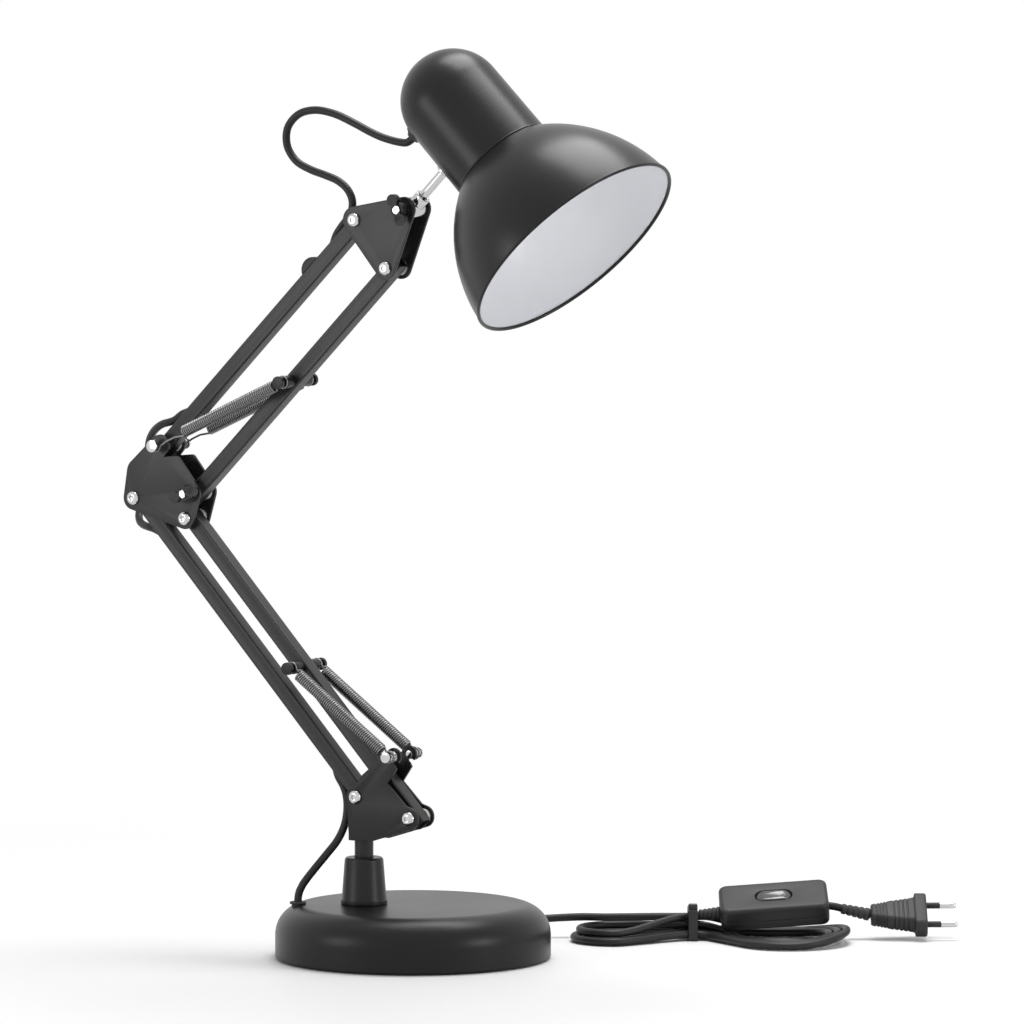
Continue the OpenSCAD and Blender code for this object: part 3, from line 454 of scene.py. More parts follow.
# %% [markdown]
# ## The mains lead
# The lead is one length of round twin sheath, 5 mm thick. It leaves the base through its strain
# relief, lies along the top of its own hank, and goes through a tie. Then it runs to and fro:
# round a loop on the right, back through the tie, round a fold on the left, three times over.
# Each turn lies one thickness inside the last. The end comes out on top of the tie, passes
# through the switch and stops at the plug.
#
# The hank is first worked out as a regular bundle of arcs and crossings. Then short tables move
# every point over, because a real hank is pulled longer at one end, bends a little, and lies
# wider where nothing holds it.

# %% Sizes of the mains lead
LEAD = 5.0
LEAD_RADIUS = LEAD / 2000
TIE_X, TIE_BEND = 164, (164, 68)               # the strands turn into the tie round one centre
LOOP_CENTRE, FOLD_CENTRE = (235, 67), (123.5, 96)
LOOPS = ((37.5, 20), (32, 25.3), (26.5, 30.6))           # radius at the right, and into the tie
STRAND, TIE_FLOOR = 2.7, 3.9                             # lowest strands, and the first in the tie
FOLDS = ((20.8, STRAND), (15, STRAND), (17.9, 7.6))      # radius and height of a fold at the left
SWITCH_IN, SWITCH_OUT = (198.215, 84.573, 16.573), (268.045, 84.573, 21.456)
PLUG_BACK = (295.5, 84.573, 15.328)
TIE_MIDDLE = (180.5, 87)
# Tables of (x in the regular bundle, value): where x lies, the bundle's middle, how far aside
# it lies, and how much wider it is
ALONG = ((102.7, 103.8), (164, 180.5), (193, 203), (235, 241), (275, 281.5))
MIDDLE, ASIDE = ((164, 96), (235, 67)), ((123.5, -20), (164, -9), (193, -4), (235, -1))
SPREAD = ((123.5, 1.25), (164, 1), (193, 1), (235, 1.04))
LOOP_RISE, LOOP_REACH = 5.5, 37.5                        # the far end of the loop rises this much
TIE_RISE = 0.72                        # share of the climb into the tie that comes before its turn
UNDER_SWITCH, SWITCH_STEP = 0.55, 0.2  # a strand's point below the switch, and how it lifts there
print("loops in the hank:", len(LOOPS))

# %% Arcs and crossings
def eased(share):
    """A share from 0 to 1 that starts and ends level."""
    return share * share * (3 - 2 * share)


def shift(start, end, count=5):
    """A strand that moves over from start to end, level with both, without its end points."""
    return [(start[0] + (end[0] - start[0]) * i / count,
             *(a + (b - a) * eased(i / count) for a, b in zip(start[1:], end[1:])))
            for i in range(1, count)]


def arc(centre, radius, start, end, low, high=None, count=12):
    """Points round an arc between two angles in degrees, rising from low to high."""
    high = low if high is None else high
    angles = [math.radians(start + (end - start) * i / count) for i in range(count + 1)]
    return [(centre[0] + radius * math.cos(a), centre[1] + radius * math.sin(a),
             low + (high - low) * eased(i / count)) for i, a in enumerate(angles)]


def tie_strand(y, layer):
    """A strand's place in the tie; layer 0 lies at the bottom."""
    return (TIE_X, y, TIE_FLOOR + LEAD * layer)


# %% Settling the bundle
def between(table, x):
    """A value read off (x, value) pairs, with straight lines between them."""
    for (x0, v0), (x1, v1) in zip(table, table[1:]):
        if x <= x1:
            return v0 + (v1 - v0) * max(0, x - x0) / (x1 - x0)
    return table[-1][1]


def settled(x, y, z):
    """Where a point of the regular bundle lies; the loop at the right rises a little."""
    middle = between(MIDDLE, x)
    return (between(ALONG, x), middle + between(ASIDE, x) + between(SPREAD, x) * (y - middle),
            z + LOOP_RISE * (max(0, x - LOOP_CENTRE[0]) / LOOP_REACH) ** 2)


print("the tie's middle is now at x, mm:", between(ALONG, TIE_X))

# %% Route of the mains lead
MAINS_START = [(71.4, 85.1, 12), (74.8, 89, 12), (80.5, 93.2, 12), (88, 95.6, 12.1),
               (97, 95.6, 12.6), (110, 94.4, 13.2), (124, 92.8, 13.2), (140, 91.2, 13.5),
               (156, 90.2, 13.8), (171, 89.7, 13.9), (180.5, 89.6, 13.9)]
ONTO_LOOP = [(178, 100.3, 13.2), (192, 103.2, 10), (205, 105.2, 7.2), (217, 105.2, 4.7),
             (227, 104.7, 3)]
MAINS_END = [(184.25, 84.573, 15.6), SWITCH_IN, (233.13, 84.573, 19.014), SWITCH_OUT,
             (281.77, 84.573, 18.392), PLUG_BACK]
CROSSINGS = (tie_strand(103.9, 0), tie_strand(98.6, 0), (TIE_X, 93.6, 15))     # after each fold
hank, came_from = list(ONTO_LOOP), None
for onward, (loop, bend), (fold, level) in zip(CROSSINGS, LOOPS, FOLDS):
    if came_from:
        hank += shift(came_from, (LOOP_CENTRE[0], LOOP_CENTRE[1] + loop, STRAND))
    on_top = level > LEAD
    exit_level = tie_strand(0, int(on_top))[2]
    round_loop = arc(LOOP_CENTRE, loop, 90, -144, STRAND, count=16)
    into_tie = arc(TIE_BEND, bend, 35, 90, STRAND + (exit_level - TIE_FLOOR) * TIE_RISE, exit_level,
                   count=6)
    under_switch = [a + (b - a) * UNDER_SWITCH
                    for a, b in zip(round_loop[-1][:2], into_tie[0][:2])]
    turn = arc(FOLD_CENTRE, fold, 90 if on_top else 270, 270 if on_top else 90, level)
    hank += [*round_loop, (*under_switch, STRAND + SWITCH_STEP), *into_tie,
             *shift(into_tie[-1], turn[0]), *turn, *shift(turn[-1], onward), onward]
    came_from = onward
mains_points = MAINS_START + [settled(*p) for p in hank] + MAINS_END
mains_path = smooth([base(*p) for p in mains_points])
print("mains lead, m:", round(path_length(mains_path), 3), "in", len(mains_path), "points")

# %% [markdown]
# ## The lead along the arms
# The same lead climbs the lamp. It is hidden inside the square tubes, and free only where it
# swings past a joint: from the lower arm down into the base, round the elbow, and in a loose
# loop from the upper arm to the shade. At each end it dips out of a slot in its tube. Each free
# stretch is cut where one joint's work ends and the next one's starts.

# %% Places beside the arms
# Pairs of (along the arm from a pivot, out from the arm's middle)
SLOT = ((39.85, 0), (38, 0.05), (33.5, 1.1), (27.5, 3.85), (21.5, 6.6))
PAST_SLOT = ((15, 7.7), (8, 8.2))


def beside(pivot, angle, pairs, way=1):
    """Points beside an arm, from pairs of (along it from the pivot, out from its middle)."""
    places = [polar(polar(pivot, way * along, angle), out, angle + 90) for along, out in pairs]
    return [arms(x, 0, z) for x, z in places]


def near(pivot, triples):
    """Points given from a pivot, as (x, y, z)."""
    return [arms(pivot[0] + x, y, pivot[1] + z) for x, y, z in triples]


def nearest(path, place):
    """The number of the path's point that is nearest to a place."""
    return min(range(len(path)), key=lambda i: (path[i] - Vector(place)).length)


print("slot, mm along the arm:", SLOT[-1][0], "to", SLOT[0][0])

# %% Routes at the base and the elbow
PAST_STEM, PAST_ELBOW = (-12.6, -3.2, -19), (-9, 19, 15.2)       # where one joint hands over
base_route = smooth(beside(LOW_REAR, LOWER_ANGLE, SLOT + PAST_SLOT[:1]) + near(LOW_REAR, (
    (-13.2, -0.3, -0.4), (-12, -1.2, -9.5), PAST_STEM, (-15.6, -6.6, -28.5), (-21, -11.2, -37.5),
    (-27, -16.4, -47), (-32.4, -20.7, -56), (-34.3, -22.2, -60.7), (-35, -22.7, -64),
    (-35.2, -22.9, -68.7))))
elbow_route = smooth(beside(UP_REAR, UPPER_ANGLE, SLOT + PAST_SLOT[:1]) + near(ELBOW_REAR, (
    (20.8, 0.6, 48.9), (15.3, 2, 47.6), (9.3, 4.3, 45), (2.8, 8, 40.8), (-3, 12.5, 34.7),
    (-6.5, 16.5, 25.7), PAST_ELBOW, (-10.7, 19, 4.2), (-11.9, 16.4, -5.4), (-11, 12.2, -12.5),
    (-7.2, 8, -16.7), (-1.4, 4.4, -18.6), (4.4, 1.4, -19.3)))
    + beside(ELBOW_REAR, LOWER_ANGLE, SLOT[::-1], way=-1))
print("free at the base and the elbow, mm:",
      [round(1000 * path_length(route)) for route in (base_route, elbow_route)])

# %% Place of the shade
SHADE_TILT, BELL_H, NECK_LENGTH = 45, 73, 53
RIM_R, FOOT_R, NECK_R, BELL_R, SHEET = 74.5, 33.5, 33, 103, 1.0
DOME_Z = BELL_H + NECK_LENGTH
INLET = DOME_Z + 4.5                              # the lead goes in this high above the rim
ROD_LENGTH, ROD_UP = 36.5, 26.5                   # how far it reaches, and where up the neck
ROD_Z = BELL_H + ROD_UP
ROD_REACH = ROD_LENGTH + FOOT_R - (FOOT_R - NECK_R) * ROD_UP / NECK_LENGTH
RIM = polar(polar(TILT, ROD_REACH, 90 - SHADE_TILT), ROD_Z, -SHADE_TILT)


def in_shade(up, across):
    """A point in the arms' plane, from its height above the rim and its place across the shade."""
    x, z = polar(polar(RIM, up, 180 - SHADE_TILT), across, 90 - SHADE_TILT)
    return arms(x, 0, z)


print("rim's middle at", [round(v, 4) for v in in_shade(0, 0)])

# %% Route to the shade
LOOP_START, LOOP_TOP = (-11.6, 0, 19), (-48.6, 0, 65.3)
head_route = smooth(beside(HEAD_REAR, UPPER_ANGLE, SLOT + PAST_SLOT, way=-1) + near(HEAD_REAR, (
    (-8.2, 0, 5.4), (-7.8, 0, 12.3), LOOP_START, (-18.6, 0, 24), (-28.6, 0, 27.5),
    (-39.6, 0, 30.8), (-50.6, 0, 36.3), (-57.1, 0, 45.8), (-56.6, 0, 56.8), LOOP_TOP,
    (-36.6, 0, 68.3), (-21.6, 0, 66.3), (-5.6, 0, 60.3), (5, 0, 55.6), (13.5, 0, 52.4),
    (21, 0, 50.4), (27.5, 0, 49.2), (33.5, 0, 49)))
    + [in_shade(INLET, -NECK_R - gap) for gap in (4.8, 3, 1)])
print("free at the head, mm:", round(1000 * path_length(head_route)))

# %% Free leads
def free_lead(name, path, replaced=()):
    """A free stretch of the lead as one tube, in place of the replaced nodes."""
    lead = tube(name, path, LEAD_RADIUS, SHEATH, "black_pvc")
    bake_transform(lead)
    for node in replaced:
        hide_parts(node)
    return lead


def cut_at(route, pivot, triple):
    """The number of the route's point at a place given from a pivot."""
    return nearest(route, near(pivot, [triple])[0])


cut = cut_at(base_route, LOW_REAR, PAST_STEM)
free_lead("lead_lower_pivot", base_route[:cut + 1],
          ["base_lead"])
free_lead("lead_round_stem", base_route[cut:])
cut = cut_at(elbow_route, ELBOW_REAR, PAST_ELBOW)
free_lead("lead_elbow_upper", elbow_route[:cut + 1],
          ["elbow_lead"])
free_lead("lead_elbow_lower", elbow_route[cut:])
loop_start, loop_top = (cut_at(head_route, HEAD_REAR, place) for place in (LOOP_START, LOOP_TOP))
free_lead("lead_head_pivot", head_route[:loop_start + 1],
          ["head_lead"])
free_lead("lead_head_loop", head_route[loop_start:loop_top + 1])
free_lead("lead_to_shade", head_route[loop_top:])

# %% Mains lead piece
mains_lead = tube("mains_lead", mains_path, LEAD_RADIUS, SHEATH, "black_pvc", "base", sides=20)
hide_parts("lead_from_base", "lead_to_switch", "lead_to_plug", "lead_hank")
print("sheath faces:", len(mains_lead.data.polygons))

# %% [markdown]
# ## Turned forms
# Most of a lamp is made on a lathe or a spinning tool: the base, the shade, bolts, nuts and
# collars. One helper turns a profile about an axis. A step of the profile may be a polygon
# instead of a circle, so the same helper makes a hexagon nut with a chamfer, or the hexagon
# recess in a bolt's head.

# %% Turning
def ring_of(radius, height, corners=None, sides=96):
    """One ring of a turned form. With corners, radius is the one across the corners."""
    ring = []
    for k in range(sides):
        a = 2 * math.pi * k / sides
        r = radius
        if corners:
            half = math.pi / corners
            r = radius * math.cos(half) / math.cos(a % (2 * half) - half)
        ring.append(Vector((r * math.cos(a), r * math.sin(a), height)))
    return ring


def turned_mesh(profile, origin, axis, sides=96):
    """A closed form from steps of (radius, height[, corners]), all in mm, along an axis."""
    place = Matrix.Translation(origin) @ Vector(axis).to_track_quat("Z", "Y").to_matrix().to_4x4()
    vertices, faces, before = [], [], None
    for number, step in enumerate(profile):
        closes = number > 0 and step == profile[0]  # a profile that ends where it began
        first = 0 if closes else len(vertices)
        if step[0] <= 0:
            ring = [Vector((0, 0, step[1]))]
        else:
            ring = ring_of(step[0], step[1], *step[2:], sides=sides)
        if not closes:
            vertices += [place @ (v / 1000) for v in ring]
        now = [first + k % len(ring) for k in range(sides)]
        if before:
            for k in range(sides):
                corners = [before[k], before[(k + 1) % sides], now[(k + 1) % sides], now[k]]
                unique = list(dict.fromkeys(corners))
                if len(unique) > 2:
                    faces.append(tuple(unique))
        before = now
    return vertices, faces


def joined(*forms):
    """Several (vertices, faces) as one."""
    vertices, faces = [], []
    for more_vertices, more_faces in forms:
        faces += [tuple(i + len(vertices) for i in face) for face in more_faces]
        vertices += list(more_vertices)
    return vertices, faces


# %% Profiles
def rounded_profile(points, radius, count=4):
    """A profile with its inner corners rounded by radius, or by less where there is no room."""
    result = [points[0]]
    for a, b, c in zip(points, points[1:], points[2:]):
        a, b, c = (Vector(p[:2]) for p in (a, b, c))
        cut = min(radius, (a - b).length * 0.45, (c - b).length * 0.45)
        start, end = b + (a - b).normalized() * cut, b + (c - b).normalized() * cut
        for i in range(count + 1):
            t = i / count
            result.append(tuple((1 - t) ** 2 * start + 2 * t * (1 - t) * b + t * t * end))
    return result + [points[-1]]


def circle_profile(centre, radius, start, end, count=24):
    """Points of a profile round a circle, between two angles in degrees."""
    angles = [math.radians(start + (end - start) * i / count) for i in range(count + 1)]
    return [(centre[0] + radius * math.cos(a), centre[1] + radius * math.sin(a)) for a in angles]


# %% Pieces that stand for nodes
NODES = frame["record"]["subparts"]
SLOT_OF = {part["node"]: part["material_slot"] for part in NODES}
BODIES = frame["record"]["behaviour"]["bodies"]
BODY_OF = {node: body for body, nodes in BODIES.items() for node in nodes}
UP = Vector((0, 0, 1))
NEAR_SIDE, FAR_SIDE = Vector((0, -1, 0)), Vector((0, 1, 0))


def instead(made, *nodes):
    """Lets a piece stand for CAD nodes, and gives it back."""
    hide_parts(*nodes)
    return made


def fitted(name, node, form, material, sharp=35):
    """A piece that stands for one node and takes its body from it."""
    return instead(piece(name, *form, material, SLOT_OF[node], BODY_OF[node], sharp), node)


def turned(name, node, profile, origin, axis, material, sides=96, sharp=35):
    """A turned piece that stands for one node and takes its body from it."""
    return fitted(name, node, turned_mesh(profile, origin, axis, sides), material, sharp)


# %% [markdown]
# ## The base
# The cover is a heavy disc of spun steel with a broad rounded shoulder. Its profile is a
# straight skirt, a quarter circle and a flat top. The sheet turns in at the foot, so the cover
# is a shell with a real thickness, and the foam pad shows under it.

# %% Base cover
BASE_R, BASE_H, SHOULDER, COVER_T, SKIRT_GAP, LIP_ROUND = 87.5, 34, 19, 1.2, 1.2, 0.3
shoulder_centre = (BASE_R - SHOULDER, BASE_H - SHOULDER)
outside = [(BASE_R, SKIRT_GAP + LIP_ROUND), (BASE_R, BASE_H - SHOULDER - 5),
           *circle_profile(shoulder_centre, SHOULDER, 0, 90, 32), (30, BASE_H), (0, BASE_H)]
inside = [(r - COVER_T if z < BASE_H - SHOULDER else r, z) for r, z in outside[:2]]
inside += circle_profile(shoulder_centre, SHOULDER - COVER_T, 0, 90, 16) + [(0, BASE_H - COVER_T)]
lip = [(BASE_R - COVER_T + LIP_ROUND, SKIRT_GAP), (BASE_R - LIP_ROUND, SKIRT_GAP)]
turned("base_shell", "base_cover", inside[::-1] + lip + outside, (0, 0, 0), UP, BASE_PAINT_PAINTED_SHADE,
       sides=192)
print("base, mm across:", 2 * BASE_R)

# %% Foam pad, weight and the parts under the cover
# These nodes' own shapes are right, so each only gets its finish
PAINTED = ((CAST_IRON, ["base_weight"]), (ZINC, ["base_plate", "base_screws", "socket_nut", "rod_nut"]),
           (FOAM, ["base_pad"]), (BLACK_PAINT, ["stem_pin"]),
           (SHEATH, ["lead_in_base", "lower_arm_lead", "upper_arm_lead", "shade_lead"]),
           (NYLON, ["lower_bracket_washers", "elbow_washers", "head_washers"]),
           (BRASS, ["holder_contact"]))
for material, names in PAINTED:
    for shown in (frame["nodes"][name] for name in names):
        for place in shown.material_slots:
            place.material = material
print("painted as they are:", sum(len(names) for _, names in PAINTED))

# %% [markdown]
# ## The stem and its socket
# A turned collar is bolted through the base and holds the stem pin. It tapers a little towards
# the top, and its top edge is rolled over. The pin turns in it, so the whole lamp can swing.

# %% Socket
socket_profile = rounded_profile([(0, 20), (9, 20), (9, BASE_H), (14.75, BASE_H), (14.75, 37),
                                  (14.25, 37), (12.3, 62.6), (11.4, 64), (6.2, 64), (6.08, 22),
                                  (0, 22)], 0.6)
turned("stem_socket", "socket", socket_profile, arms(0, 0, 0), UP, BLACK_PAINT)
inlet_profile = rounded_profile([(2.8, 26), (4, 26), (4, 34.1), (5.2, 34.1), (5.2, 35.6),
                                 (2.8, 35.6), (2.8, 26)], 0.4)
turned("lead_inlet_bush", "lead_inlet", inlet_profile, base(-73, 0, 0), UP, SOFT_RUBBER, sides=48)

# %% [markdown]
# ## Pressed and cut parts
# Brackets and tubes have the right shape already, but every edge of a solid is a knife edge,
# and no real one is. A copy of the solid gets its flat faces joined, and then each hard edge is
# bevelled by a few tenths of a millimetre. The bevel catches the light along the plate's rim,
# which is what makes painted steel look like painted steel.

# %% Softened edges
def softened(node, material, edge=0.4, segments=2):
    """A copy of a node with its hard edges rounded by edge, in mm, that stands for the node."""
    mesh = frame["nodes"][node].data.copy()
    form = bmesh.new()
    form.from_mesh(mesh)
    bmesh.ops.remove_doubles(form, verts=form.verts, dist=2e-6)
    bmesh.ops.dissolve_limit(form, angle_limit=math.radians(1.5), verts=form.verts, edges=form.edges)
    hard = [e for e in form.edges
            if len(e.link_faces) == 2 and e.calc_face_angle(0) > math.radians(32)]
    bmesh.ops.bevel(form, geom=hard, offset=edge / 1000, segments=segments, profile=0.7,
                    affect="EDGES", clamp_overlap=True)
    form.to_mesh(mesh)
    form.free()
    mesh.shade_smooth()
    mesh.set_sharp_from_angle(angle=math.radians(40))
    mesh.materials.clear()
    mesh.materials.append(material)
    made = placed(node + "_softened", mesh)
    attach(made, BODY_OF[node])
    return instead(made, node)


for node, edge in (("lower_bracket", 0.35), ("lower_anchor_pin", 0.3), ("upper_anchor_pin", 0.3)):
    softened(node, BLACK_PAINT, edge)
for node, edge in (("elbow_plates", 0.35), ("head_plates", 0.35), ("lower_arm_rear", 0.25),
                   ("lower_arm_front", 0.25), ("upper_arm_rear", 0.25), ("upper_arm_front", 0.25)):
    softened(node, ARM_PAINT_PAINTED_LIGHT, edge)
softened("arm_bumper", SOFT_RUBBER, 1.1, 4)
softened("holder_bracket", ZINC, 0.2)
softened("hook_pin", CHROME, 0.25)
for node in ("elbow_wing_nut", "tilt_wing_nut"):
    softened(node, BLACK_MOULDING, 0.9, 3)

# %% [markdown]
# ## Bolts and nuts
# Each pivot is a bolt with a low domed head and a hexagon recess, a plain shank, and a hexagon
# nut on the far side. The two that clamp a wing nut point the other way, and their bright
# threaded ends show in the middle of the wings.

# %% Bolt profiles
PLATE_FACE = 9.8            # outer face of a bracket plate, from the arms' plane
BOLT_R, PIN_HALF = 2.5, 18                  # shank, and half the spring pin between its heads
HEAD = ((0, 0), (4.5, 0), (4.5, 0.6), (4.4, 1.0), (4.1, 1.5), (3.6, 2.0), (2.9, 2.4), (2.3, 2.58),
        (2.0, 2.6), (1.9, 2.55, 6), (1.85, 1.4, 6), (0, 1.2))
NUT = ((0, 0), (4.0, 0), (4.6, 0.45, 6), (4.6, 3.55, 6), (4.0, 4), (BOLT_R, 4), (2.4, 5), (2.1, 5.2),
       (0, 5.2))
ROUND_HEAD = ((0, 0), (4.5, 0), (4.5, 1.7), (4.2, 2.2), (3.6, 2.7), (2.6, 3.2), (1.4, 3.4), (0, 3.42))


def thread(start, end, radius=BOLT_R, depth=0.25, pitch=0.8):
    """A profile with the ridges of a thread."""
    count = int((end - start) / pitch)
    ridges = [(radius - depth * (i % 2), start + i * pitch / 2) for i in range(2 * count + 1)]
    return ridges + [(radius - depth, end), (radius - 0.5, end + 0.3), (0, end + 0.3)]


# %% Bolts in their pivots
def pivot_bolt(pivot):
    """Head, shank and nut of one pivot bolt."""
    shank = ((0, 0), (BOLT_R, 0), (BOLT_R, 2 * PLATE_FACE), (0, 2 * PLATE_FACE))
    near_end, far_end = (arms(pivot[0], y, pivot[1]) for y in (-PLATE_FACE, PLATE_FACE))
    return joined(turned_mesh(HEAD, near_end, NEAR_SIDE, 48),
                  turned_mesh(shank, near_end, FAR_SIDE, 48),
                  turned_mesh(NUT, far_end, FAR_SIDE, 48))


def wing_bolt(pivot):
    """A bolt whose head is on the far side and whose threaded end carries a wing nut."""
    far_end = arms(pivot[0], PLATE_FACE, pivot[1])
    stud = [(0, 0), (BOLT_R, 0), (BOLT_R, 2 * PLATE_FACE),
            *thread(2 * PLATE_FACE + 0.2, 2 * PLATE_FACE + 9)]
    return joined(turned_mesh(ROUND_HEAD, far_end, FAR_SIDE, 48),
                  turned_mesh(stud, far_end, NEAR_SIDE, 48))


def spring_pin(pivot):
    """The long pin through the elbow that also carries the upper springs' ends."""
    half = ((BOLT_R, PIN_HALF), (4, PIN_HALF + 0.2), (4, PIN_HALF + 1.5), (0, PIN_HALF + 1.5))
    pin = [(r, -h) for r, h in half[::-1]] + list(half)
    return turned_mesh(rounded_profile(pin, 0.4), arms(pivot[0], 0, pivot[1]), FAR_SIDE, 48)


for node, forms in (
        ("lower_bracket_bolts", [pivot_bolt(LOW_REAR), pivot_bolt(LOW_FRONT)]),
        ("elbow_bolts", [pivot_bolt(ELBOW_REAR), pivot_bolt(ELBOW_FRONT), wing_bolt(UP_FRONT),
                         spring_pin(UP_REAR)]),
        ("head_bolts", [pivot_bolt(HEAD_REAR), pivot_bolt(HEAD_FRONT), wing_bolt(TILT)])):
    made = fitted(node + "_turned", node, joined(*forms), CHROME, 28)
    print(made.name, "faces:", len(made.data.polygons))

# %% [markdown]
# ## Springs
# A close wound tension spring is one wire. It starts as a hook round its pin, comes over to the
# coil, winds for as many turns as fit, and ends in the other hook. The upper pair has a length of
# free wire before its hook at the elbow. The wire's path is a list of points, and the same tube
# helper that made the lead gives it its thickness.

# %% Spring wire
WIRE, COIL_R, HOOK_R, SPRING_Y = 1.4, 3.3, 3.6, 14.5
TURN_GAP, TURN_STEPS = 0.12, 14             # air between two turns, and points round one turn
HOOK_ROOM = 3                               # from a hook's circle to the coil


def spring_path(first_pin, last_pin, y, straight):
    """The wire's path between two pins, with a straight length of wire before the last hook."""
    start, end = (Vector((x, 0, z)) for x, z in (first_pin, last_pin))
    ahead = (end - start).normalized()
    out, side = Vector((-ahead.z, 0, ahead.x)), Vector((0, 1, 0))
    level = Vector((0, y, 0))
    length = (end - start).length

    def hook(centre, way):
        angles = [math.radians(a) for a in range(-120, 151, 15)]
        return [centre + level + HOOK_R * (-way * ahead * math.cos(a) + out * math.sin(a))
                for a in angles]

    first, last = HOOK_R + HOOK_ROOM, length - HOOK_R - HOOK_ROOM - straight
    steps = round((last - first) / (WIRE + TURN_GAP)) * TURN_STEPS
    coil = []
    for i in range(steps + 1):
        a = 2 * math.pi * i / TURN_STEPS
        place = first + (last - first) * i / steps
        coil.append(start + level + ahead * place
                    + COIL_R * (out * math.cos(a) + side * math.sin(a)))
    over = [start + level + ahead * (HOOK_R + 1.2) + out * 1.6]
    back = [end + level - ahead * (HOOK_R + 1.6 + straight) + out * 2.4]
    if straight:
        back += [end + level - ahead * (HOOK_R + 1.6 + straight * share) + out * 0.6
                 for share in (0.6, 0.2)]
    back += [end + level - ahead * (HOOK_R + 0.6) + out * 1.4]
    mm = hook(start, 1) + over + coil + back + hook(end, -1)[::-1]
    return [arms(p.x, p.y, p.z) for p in mm]


# %% Springs
def springs(name, node, pin, far_pin, straight):
    """A pair of springs from a pin on the first body to a far pin on the second."""
    forms = [tube_mesh(spring_path(far_pin, pin, y, straight), WIRE / 2000, 8)
             for y in (-SPRING_Y, SPRING_Y)]
    pair = piece(name, *joined(*forms), SPRING_WIRE, "spring_steel", sharp=60)
    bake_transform(pair)
    print(name, "faces:", len(pair.data.polygons))
    return instead(pair, node)


springs("lower_spring_pair", "lower_springs", HOOK, LOW_ANCHOR, 0)
springs("upper_spring_pair", "upper_springs", UP_REAR, UP_ANCHOR, 18)

# %% [markdown]
# ## The head
# A knuckle between the head plates takes the chrome rod, which carries the shade. The shade is
# spun from one sheet: a flaring bell, a small rolled ridge, a straight neck and a dome. Its
# black outside and its glossy white inside are two thin closed skins that touch.

# %% Knuckle and rod
ROD_WAY, INTO_SHADE = way_at(90 - SHADE_TILT), way_at(180 - SHADE_TILT)
tilt_place = arms(TILT[0], 0, TILT[1])
barrel = rounded_profile([(0, -7.7), (6.5, -7.7), (6.5, 7.7), (0, 7.7)], 0.8)
boss = rounded_profile([(0, 2), (5, 2), (5, 12), (3.1, 12), (3.1, 9)], 0.7)
fitted("tilt_knuckle_turned", "tilt_knuckle",
       joined(turned_mesh(barrel, tilt_place, FAR_SIDE, 64),
              turned_mesh(boss, tilt_place, ROD_WAY, 64)), CHROME, 30)
rod = [(0, 6.3), (3, 6.3), (3, 33.7), (5.5, 33.7), (5.5, 36.2), (3, 36.2), (3, 47.5), (0, 47.5)]
turned("shade_rod", "head_rod", rounded_profile(rod, 0.6), tilt_place, ROD_WAY, CHROME, sides=64,
       sharp=30)

# %% Shade profile
chord = Vector((RIM_R - FOOT_R, -BELL_H))
bell_depth = math.sqrt(BELL_R ** 2 - chord.length_squared / 4)
bell_centre = Vector((RIM_R + FOOT_R, BELL_H)) / 2 - Vector((BELL_H, chord.x)).normalized() * bell_depth
BELL_STEPS = 40


def shade_skin(inset):
    """The shade's profile from the rim to the top, moved in by inset."""
    start, end = (math.degrees(math.atan2(h - bell_centre.y, r - bell_centre.x))
                  for r, h in ((RIM_R, 0), (FOOT_R, BELL_H)))
    return (circle_profile(bell_centre, BELL_R - inset, start, end, BELL_STEPS)
            + circle_profile((0, DOME_Z), NECK_R - inset, 0, 90, 32)[:-1]
            + [(0, DOME_Z + NECK_R - inset)])


print("bell's arc centre, mm:", [round(v, 1) for v in bell_centre])

# %% Shade
ridge = circle_profile((FOOT_R - 0.1, BELL_H), 0.9, -60, 80, 8)
bead = circle_profile((RIM_R - SHEET / 2, 0), 1.2, 150, 385, 20)
surface = shade_skin(0)
outer = (shade_skin(SHEET / 2)[::-1] + bead + surface[:BELL_STEPS] + ridge
         + surface[BELL_STEPS + 1:])
inner = (shade_skin(SHEET)[::-1] + [(RIM_R - 1.3, -0.2), (RIM_R - 0.8, -0.2)]
         + shade_skin(SHEET / 2 + 0.05))
turned("shade_outside", "shade", outer, in_shade(0, 0), INTO_SHADE, LAMPSHADE_PAINT_PAINTED_SHADE, sides=192,
       sharp=50)
piece("shade_inside", *turned_mesh(inner, in_shade(0, 0), INTO_SHADE, 192), WHITE_PAINT, None,
      "shade", 50)
print("shade, mm across:", 2 * RIM_R)

# %% Lamp holder
PLATE_Z, HOLDER_R, HOLDER_H, SOCKET_R, THREAD_R, THREAD_H = DOME_Z - 8, 19.5, 46, 15, 14, 24
holder = [(SOCKET_R, 0), (HOLDER_R, 0), (HOLDER_R, 3), (HOLDER_R - 0.7, 3.6),
          (HOLDER_R - 0.7, HOLDER_H - 13), (13, HOLDER_H), (4.9, HOLDER_H), (4.9, HOLDER_H + 6),
          (3, HOLDER_H + 6), (3, 31), (SOCKET_R, 31), (SOCKET_R, 0)]
turned("lamp_holder_shell", "lamp_holder", rounded_profile(holder, 0.9),
       in_shade(PLATE_Z - HOLDER_H, 0), INTO_SHADE, HOLDER_WHITE, sides=128)
waves = [(THREAD_R - 0.35 - 0.3 * math.cos(2 * math.pi * i / 6), THREAD_H * i / 40)
         for i in range(41)]
screwed = [(THREAD_R + 0.5, 0), *waves, (THREAD_R + 0.5, THREAD_H), (THREAD_R + 0.5, 0)]
turned("holder_thread_sleeve", "holder_thread", screwed, in_shade(PLATE_Z - HOLDER_H + 2, 0),
       INTO_SHADE, BRASS)
softened("holder_bracket", ZINC, 0.2)

